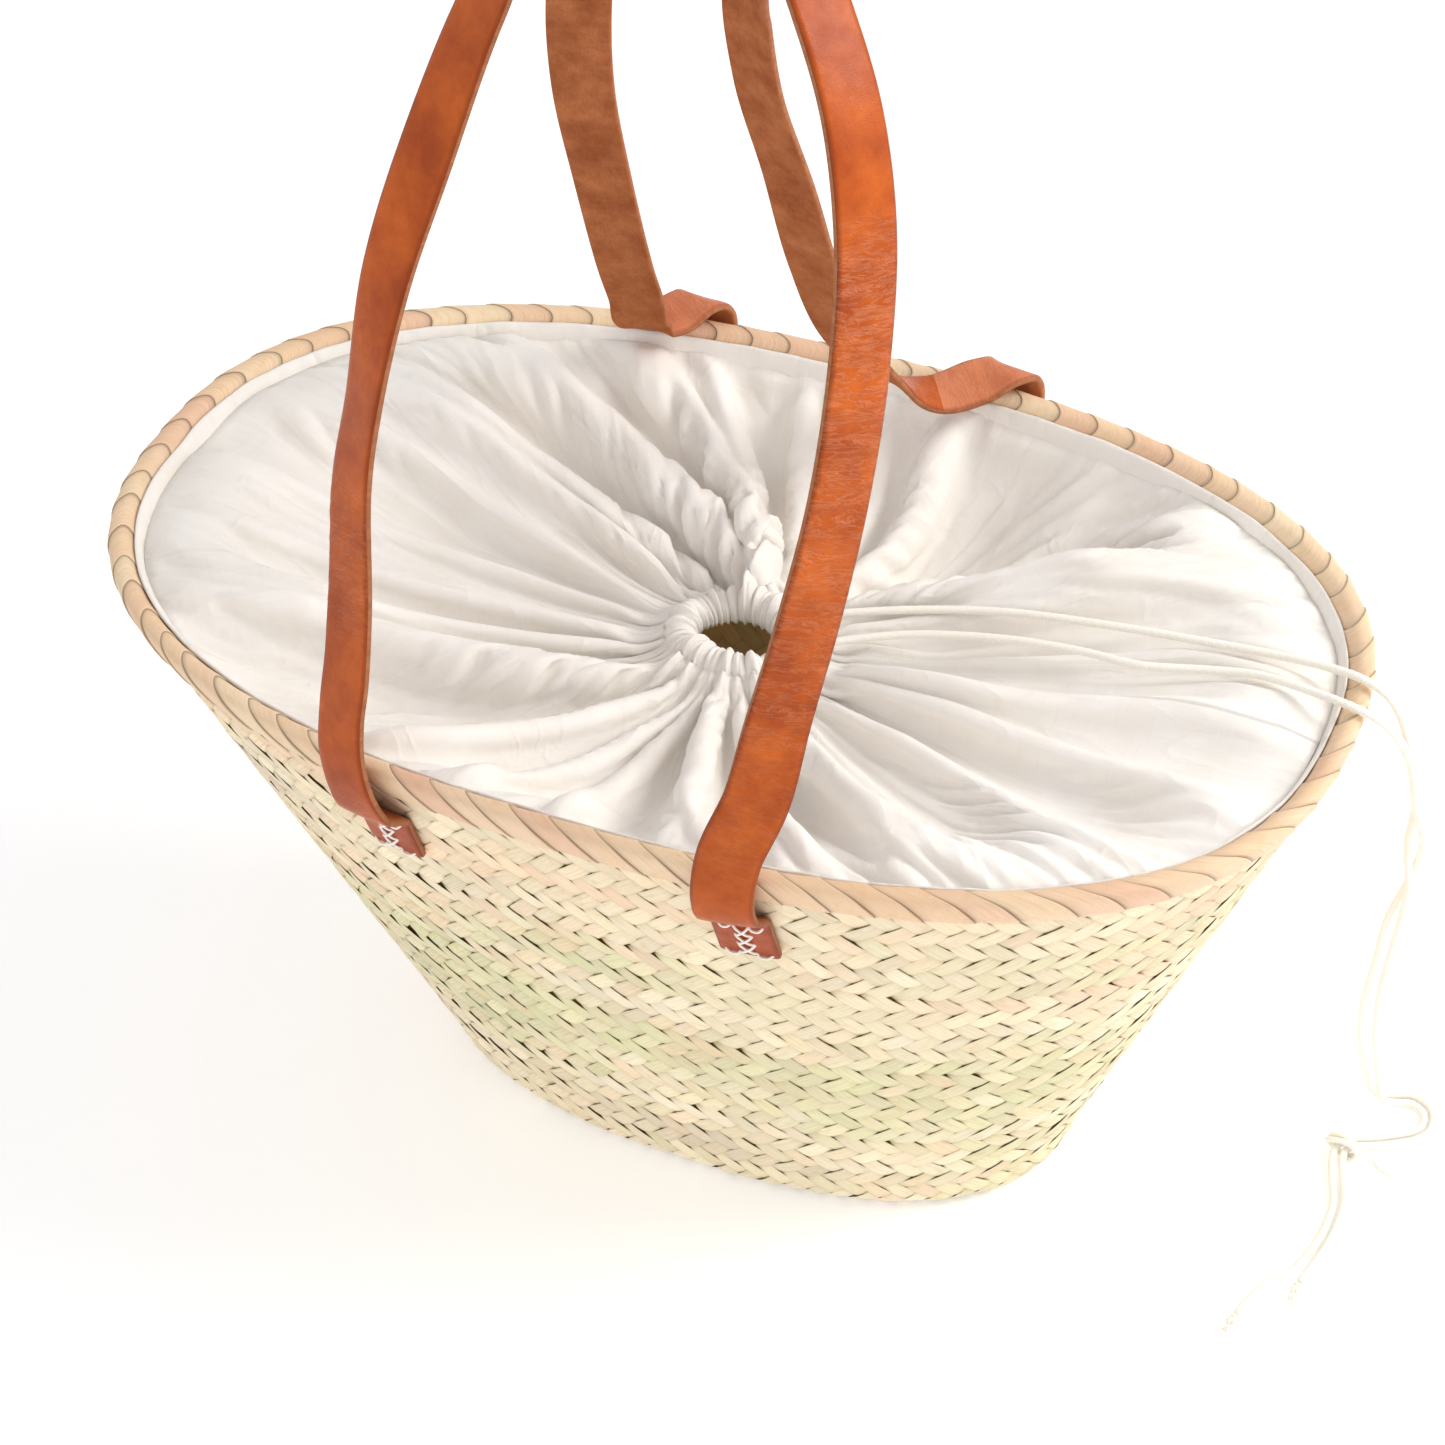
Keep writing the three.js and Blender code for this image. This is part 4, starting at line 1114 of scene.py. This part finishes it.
# Rows are x, then how far inwards from OUTSIDE, how far above the rim's top, and the way the grain faces.
FRONT_STRAP = [
    (FRONT_FEET[0] - 1, 1.5, -FOLD, -0.2, 1, 0),
    (FRONT_FEET[0] - 3.5, -0.5, -9, -0.25, 1, 0),
    (-88.5, 2, 8, -0.3, 1, 0.1),
    (-89, 8, 25, -0.4, 1, 0.3),
    (-87, 14, 44, -0.4, 1, 0.3),
    (-87, 25, 71, -0.45, 1, 0.4),
    (-89, 43, 114, -0.6, 1, 0.4),
    (-86, 55, 143, -0.7, 1, 0.4),
    (-80, 74, 188, -0.4, 1, 0.4),
    (-67, 93, 233, -0.3, 1, 0.4),
    (-47, 117, 289, -0.5, 0.9, 0.5),
    (-29, 129, 320, -0.7, 0.5, 0.8),
    (-3, 139, 343, -0.3, 0, 1),
    (24, 143, 352, 0.1, -0.3, 1),
    (48, 140, 346, 0.5, 0, 1),
    (65, 134, 330, 0.9, 0.3, 0.6),
    (80, 124, 306, 1, 0.4, 0.3),
    (95, 111, 276, 1, 0.5, 0.2),
    (105, 95, 238, 1, 0.6, 0.2),
    (108, 77, 195, 1, 0.65, 0.2),
    (106, 59, 151, 1, 0.7, 0.2),
    (100, 40, 107, 0.9, 0.8, 0.2),
    (92, 24, 66, 0.7, 0.9, 0.2),
    (87, 12, 37, 0.4, 1, 0.2),
    (78, 3, 12, 0.15, 1, 0.1),
    (FRONT_FEET[1], -0.5, -9, 0.12, 1, 0),
    (FRONT_FEET[1], 1.5, -FOLD, 0.12, 1, 0),
]
BACK_STRAP = [
    (BACK_FEET[0], 1.5, -FOLD, -0.1, 1, 0),
    (BACK_FEET[0], -0.5, -9, -0.1, 1, 0.1),
    (BACK_FEET[0], 0, 2, 0, 1, 0.5),
    (BACK_FEET[0] - 2, 5.5, 8.5, 0, 0.3, 1),
    (BACK_FEET[0] - 8, 15, 7, 0, -0.2, 1),
    (BACK_FEET[0] - 15, 25, 5.5, -0.1, 0.3, 1),
    (-94.5, 33, 13, -0.2, 1, 0.4),
    (-92, 39, 29, -0.2, 1, 0.1),
    (-90, 49, 55, -0.2, 1, 0.1),
    (-82, 73, 119, -0.2, 1, 0.1),
    (-73, 95, 179, -0.3, 1, 0.1),
    (-58, 116, 235, -0.4, 1, 0.2),
    (-44, 129, 272, -0.7, 0.8, 0.4),
    (-26, 140, 305, -0.7, 0.3, 0.8),
    (-2, 146, 322, -0.1, 0, 1),
    (17, 145, 317, 0.6, 0, 1),
    (27, 137, 296, 1, 0.4, 0.3),
    (23, 129, 272, 0.8, 0.8, 0),
    (16, 122, 252, 0.4, 1, 0),
    (9, 104, 202, 0.3, 1, 0),
    (8, 83, 147, 0.2, 1, 0.1),
    (6, 61, 87, 0.1, 1, 0.1),
    (10, 44, 40, 0.1, 1, 0.2),
    (24, 35, 16, 0.2, 0.8, 0.7),
    (41, 27, 5, 0.1, 0.1, 1),
    (57, 15, 7, 0, -0.2, 1),
    (67, 5.5, 8.5, 0, 0.3, 1),
    (BACK_FEET[1], 0, 2, 0.1, 1, 0.5),
    (BACK_FEET[1], -0.5, -9, 0.1, 1, 0.1),
    (BACK_FEET[1], 1.5, -FOLD, 0.1, 1, 0),
]


def wall_lie(x, z):
    """How the wall's face turns along x and leans with height."""
    turn = (wall_depth(x - 5, z) - wall_depth(x + 5, z)) / 10
    return turn, (wall_depth(x, z + 5) - wall_depth(x, z - 5)) / 10


def sewn_rows(x):
    """The end that is sewn to the wall, from its lower edge up to where it leaves the wall."""
    top = -SEWN_TOP - FOLD_BEND
    bottom = top - SEWN_LENGTH + SEWN_BENT
    turn, slope = wall_lie(x, HEIGHT + top)
    rows = []
    for share in (0, 0.4, 0.75, 1):
        up = bottom + (top - bottom) * share
        inwards = OUTSIDE - wall_depth(x, HEIGHT + up) - SEAT - STRAP / 2
        rows.append((x, inwards, up, turn, 1, -slope))
    rows.append((x, 6.2, top + 5.4, turn, 1, -0.9))
    return rows


def placed(rows, side):
    return [(x, side * (OUTSIDE - inwards), HEIGHT + up, face_x, side * face_out, face_up)
            for x, inwards, up, face_x, face_out, face_up in rows]


def strip(rows):
    """Even points along a strap, the way across it, its grain side's normal and the distance along."""
    centre = catmull([r[:3] for r in rows], 16, 0.5)
    facing = catmull([r[3:] for r in rows], 16, 0)
    joined, at = even(np.hstack([centre, facing]), 1.6)
    centre, facing = joined[:, :3], joined[:, 3:]
    tangent = unit(np.gradient(centre, axis=0))
    normal = unit(facing - tangent * (facing * tangent).sum(1)[:, None])
    return centre, np.cross(tangent, normal), normal, at


STRAP_ACROSS = np.array((-1, -0.93, -0.8, -0.6, -0.35, 0, 0.35, 0.6, 0.8, 0.93, 1))
CREASE_RAMP = 25
LEATHERS = [GRAIN, FLESH, CUT_EDGE, SHADED_TAB_GRAIN, LIT_LOOP_GRAIN]


def crease_noise(at, finer, wider, seed):
    """Bumps of creased leather over a strap: finer along it and wider across it."""
    return np.array([
        [noise.noise(Vector((a * finer * 0.24 + seed, w * STRAP_WIDTH * wider * 0.05, seed * 1.7)))
         for w in STRAP_ACROSS] for a in at
    ])


def crease_share(at, creases):
    """How creased the leather is along a strap, 0 to 1."""
    share = np.zeros(len(at))
    for low, high, strength in creases:
        ramp = np.clip((at - low) / CREASE_RAMP, 0, 1) * np.clip((high - at) / CREASE_RAMP, 0, 1)
        share = np.maximum(share, strength * ramp)
    return share


def strap_slots(at, loop_length):
    """The place in LEATHERS of each face of a strap: grain, flesh and cut edges, and near its ends copies of
    the grain with painted shade and, over the back strap's rolls, painted light.
    """
    columns = len(STRAP_ACROSS)
    cut = LEATHERS.index(CUT_EDGE)
    grain_side, flesh_side = [LEATHERS.index(GRAIN)] * (columns - 1), [LEATHERS.index(FLESH)] * (columns - 1)
    slots = np.tile([*grain_side, cut, *flesh_side, cut], (len(at) - 1, 1))
    # near the ends the grain gives way to its painted-shade copy and, over the back strap's rolls, its
    # painted-light copy
    for length, leather in ((TAB_LENGTH, SHADED_TAB_GRAIN), (loop_length, LIT_LOOP_GRAIN)):
        near_end = (at[:-1] < length) | (at[:-1] > at[-1] - length)
        slots[near_end] = np.where(slots[near_end] == 0, LEATHERS.index(leather), slots[near_end])
    return np.r_[slots.ravel(), [cut, cut]]


def leather_strap(name, rows, creases, loop_length):
    """One strip of leather from sewn end to sewn end. creases are (from, to, strength) along it."""
    centre, across, normal, at = strip(rows)
    creased = crease_share(at, creases)
    bumps = creased[:, None] * (0.9 * crease_noise(at, 1, 1, 3.1) + 0.3 * crease_noise(at, 2.6, 1.5, 9.7))
    reach = np.abs(STRAP_ACROSS)
    rounding = np.clip(1 - (reach - 0.93) / 0.07, 0, 1)
    edge_drop = np.where(reach > 0.96, 0.75, 0.12 * (reach > 0.9))
    cup = 0.35 * (1 - STRAP_ACROSS ** 2) - 0.2
    sway = np.array([noise.noise(Vector((a * 0.02, len(name), 0))) for a in at])
    width = STRAP_WIDTH / 2 * (1 + 0.012 * sway)[:, None] * STRAP_ACROSS[None]
    top_lift = STRAP / 2 - edge_drop[None] + cup[None] + bumps * rounding[None]
    low_lift = -STRAP / 2 + edge_drop[None] + cup[None] + 0.4 * bumps * rounding[None]
    top, low = (centre[:, None] + across[:, None] * width[..., None] + normal[:, None] * lift[..., None]
                for lift in (top_lift, low_lift))
    sides = 2 * len(STRAP_ACROSS)
    lay_across = np.r_[STRAP_ACROSS, STRAP_ACROSS[::-1]] * STRAP_WIDTH / 2
    return mesh_object(
        name, np.concatenate([top, low[:, ::-1]], 1), tube_faces(len(at), sides), LEATHERS,
        uv=np.stack(np.broadcast_arrays(at[:, None], lay_across[None]), -1),
        colors=np.repeat(np.clip(creased, 0, 1), 3 * sides),
        slots=strap_slots(at, loop_length),
    )


FRONT_CREASES = [(28, 60, 0.5), (118, 190, 0.7), (630, 850, 1.0), (820, 905, 0.35)]
BACK_CREASES = [(40, 100, 0.5), (300, 420, 0.3), (700, 900, 0.4)]


def make_straps():
    for name, rows, feet, side, creases, loop_length in (
        ("front", FRONT_STRAP, FRONT_FEET, -1, FRONT_CREASES, 0),
        ("back", BACK_STRAP, BACK_FEET, 1, BACK_CREASES, LOOP_LENGTH),
    ):
        whole = [*sewn_rows(feet[0]), *rows, *reversed(sewn_rows(feet[1]))]
        obj = leather_strap(f"{name}_leather", placed(whole, side), creases, loop_length)
        bpy.context.view_layer.update()
        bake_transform(obj)
        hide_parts(f"{name}_strap", f"{name}_left_strap_end", f"{name}_right_strap_end")


make_straps()


def stitch_lines(source):
    """Threads over a sewn end: three crosses, and loops over its corners. Across, up and off the leather."""
    threads = []
    for row in (7.0, 0.0, -7.0):
        w, h = 3.6 + source.normal() * 0.3, 3.7
        for lean, lift in ((1, 0.55), (-1, 0.15)):
            threads.append([
                (-w, row - lean * h, -1.1), (-w * 0.6, row - lean * h * 0.6, lift * 0.8),
                (0, row, lift + 0.3),
                (w * 0.6, row + lean * h * 0.6, lift * 0.8), (w, row + lean * h, -1.1),
            ])
    for side in (-1, 1):
        for corner in (
            ((9.5, 11.6, -1.1), (7.5, 10.2, 0.5), (4.5, 11.0, 0.5), (3.4, 12.0, -1.1)),
            ((10.2, -10.2, -1.1), (7.6, -11.2, 0.5), (4.4, -10.9, 0.5), (3.2, -9.8, -1.1)),
        ):
            threads.append([(side * across, up, off) for across, up, off in corner])
    return threads


def stitches(name, x, side):
    """Waxed thread over a sewn end."""
    z = HEIGHT - SEWN_TOP - FOLD_BEND - (SEWN_LENGTH - SEWN_BENT) / 2
    turn, slope = wall_lie(x, z)
    outwards = unit(np.array((turn, side, -slope)))
    up = np.array((0, side * slope, 1.0))
    up = unit(up - outwards * up.dot(outwards))
    across = np.cross(up, outwards)
    origin = np.array((x, side * wall_depth(x, z), z)) + outwards * (SEAT + STRAP + 0.45)
    parts = []
    for index, line in enumerate(stitch_lines(np.random.default_rng(len(name)))):
        flat = catmull(line, 6, 0.5)
        points = origin + flat[:, :1] * across + flat[:, 1:2] * up + flat[:, 2:] * outwards
        parts.append(twisted_cord(f"{name}_{index}", points, 1.15, 4.0, 8, 0.6, THREAD))
    on_basket(join(name, parts), "waxed_thread", name.replace("stitches", "lacing"))


for foot_name, foot_x, foot_side in (
    ("front_left", FRONT_FEET[0], -1),
    ("front_right", FRONT_FEET[1], -1),
    ("back_left", BACK_FEET[0], 1),
    ("back_right", BACK_FEET[1], 1),
):
    stitches(f"{foot_name}_stitches", foot_x, foot_side)


def finish_cad_nodes():
    """The CAD nodes that still show take the same materials as their neighbours."""
    for node, material in (("rim_core", CORE), ("drawstring_loop", CORD)):
        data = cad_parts[node].data
        data.materials.clear()
        data.materials.append(material)


finish_cad_nodes()


# ---------------------------------------------------------------- floor and light


FLOOR_SIZE = 12000


def floor_material():
    n = Nodes("floor_white", 0.9, 0.1)
    paper = n.noise(n.position(), 8.0, 2.0, 0.5)
    n.shader.inputs["Emission Color"].default_value = (1.0, 1.0, 1.0, 1)
    n.shader.inputs["Emission Strength"].default_value = 0.22
    return n.finish(n.mix(paper, (0.93, 0.93, 0.94), (0.95, 0.95, 0.95)))


def make_stage():
    corners = np.array(((-1, -1, 0), (1, -1, 0), (1, 1, 0), (-1, 1, 0))) * FLOOR_SIZE / 2
    corners = corners - np.array((0, 0, 0.15))
    mesh_object("floor", corners, [[0, 1, 2, 3]], [floor_material()], smooth=False)


def area_light(name, at, towards, size, energy, color):
    data = bpy.data.lights.new(name, "AREA")
    data.shape = "RECTANGLE"
    data.size, data.size_y = size
    data.energy = energy
    data.color = color
    light = bpy.data.objects.new(name, data)
    light.location = at
    light.rotation_euler = (Vector(towards) - Vector(at)).to_track_quat("-Z", "Y").to_euler()
    bpy.context.scene.collection.objects.link(light)


def studio_world():
    """A soft dome of light, brightest low down, so the floor runs into a white surround."""
    world = bpy.data.worlds.new("studio")
    world.use_nodes = True
    nodes, links = world.node_tree.nodes, world.node_tree.links
    background = nodes["Background"]
    background.inputs["Color"].default_value = (0.98, 0.98, 1.0, 1)
    direction = nodes.new("ShaderNodeTexCoord")
    split = nodes.new("ShaderNodeSeparateXYZ")
    height = nodes.new("ShaderNodeMapRange")
    height.interpolation_type = "SMOOTHSTEP"
    for socket, value in (("From Min", 0.28), ("From Max", 0.5), ("To Min", 1.0), ("To Max", 0.72)):
        height.inputs[socket].default_value = value
    links.new(direction.outputs["Generated"], split.inputs[0])
    links.new(split.outputs["Z"], height.inputs["Value"])
    links.new(height.outputs["Result"], background.inputs["Strength"])
    bpy.context.scene.world = world


def make_light():
    studio_world()
    area_light("key", (1.2, 0.45, 1.2), (0, 0, 0.2), (0.8, 0.8), 18, (1.0, 0.985, 0.965))
    area_light("front", (0.4, -2.2, 1.5), (0, 0, 0.2), (2.0, 1.2), 8, (1.0, 0.99, 0.98))
    inside = bpy.data.lights.new("inside", "POINT")
    inside.energy = 0.07
    inside.color = (1.0, 0.86, 0.62)
    inside.shadow_soft_size = 0.05
    glow = bpy.data.objects.new("inside", inside)
    glow.location = (0.0, 0.0, 0.17)
    bpy.context.scene.collection.objects.link(glow)
    bpy.context.scene.view_settings.view_transform = "Standard"


make_stage()
make_light()
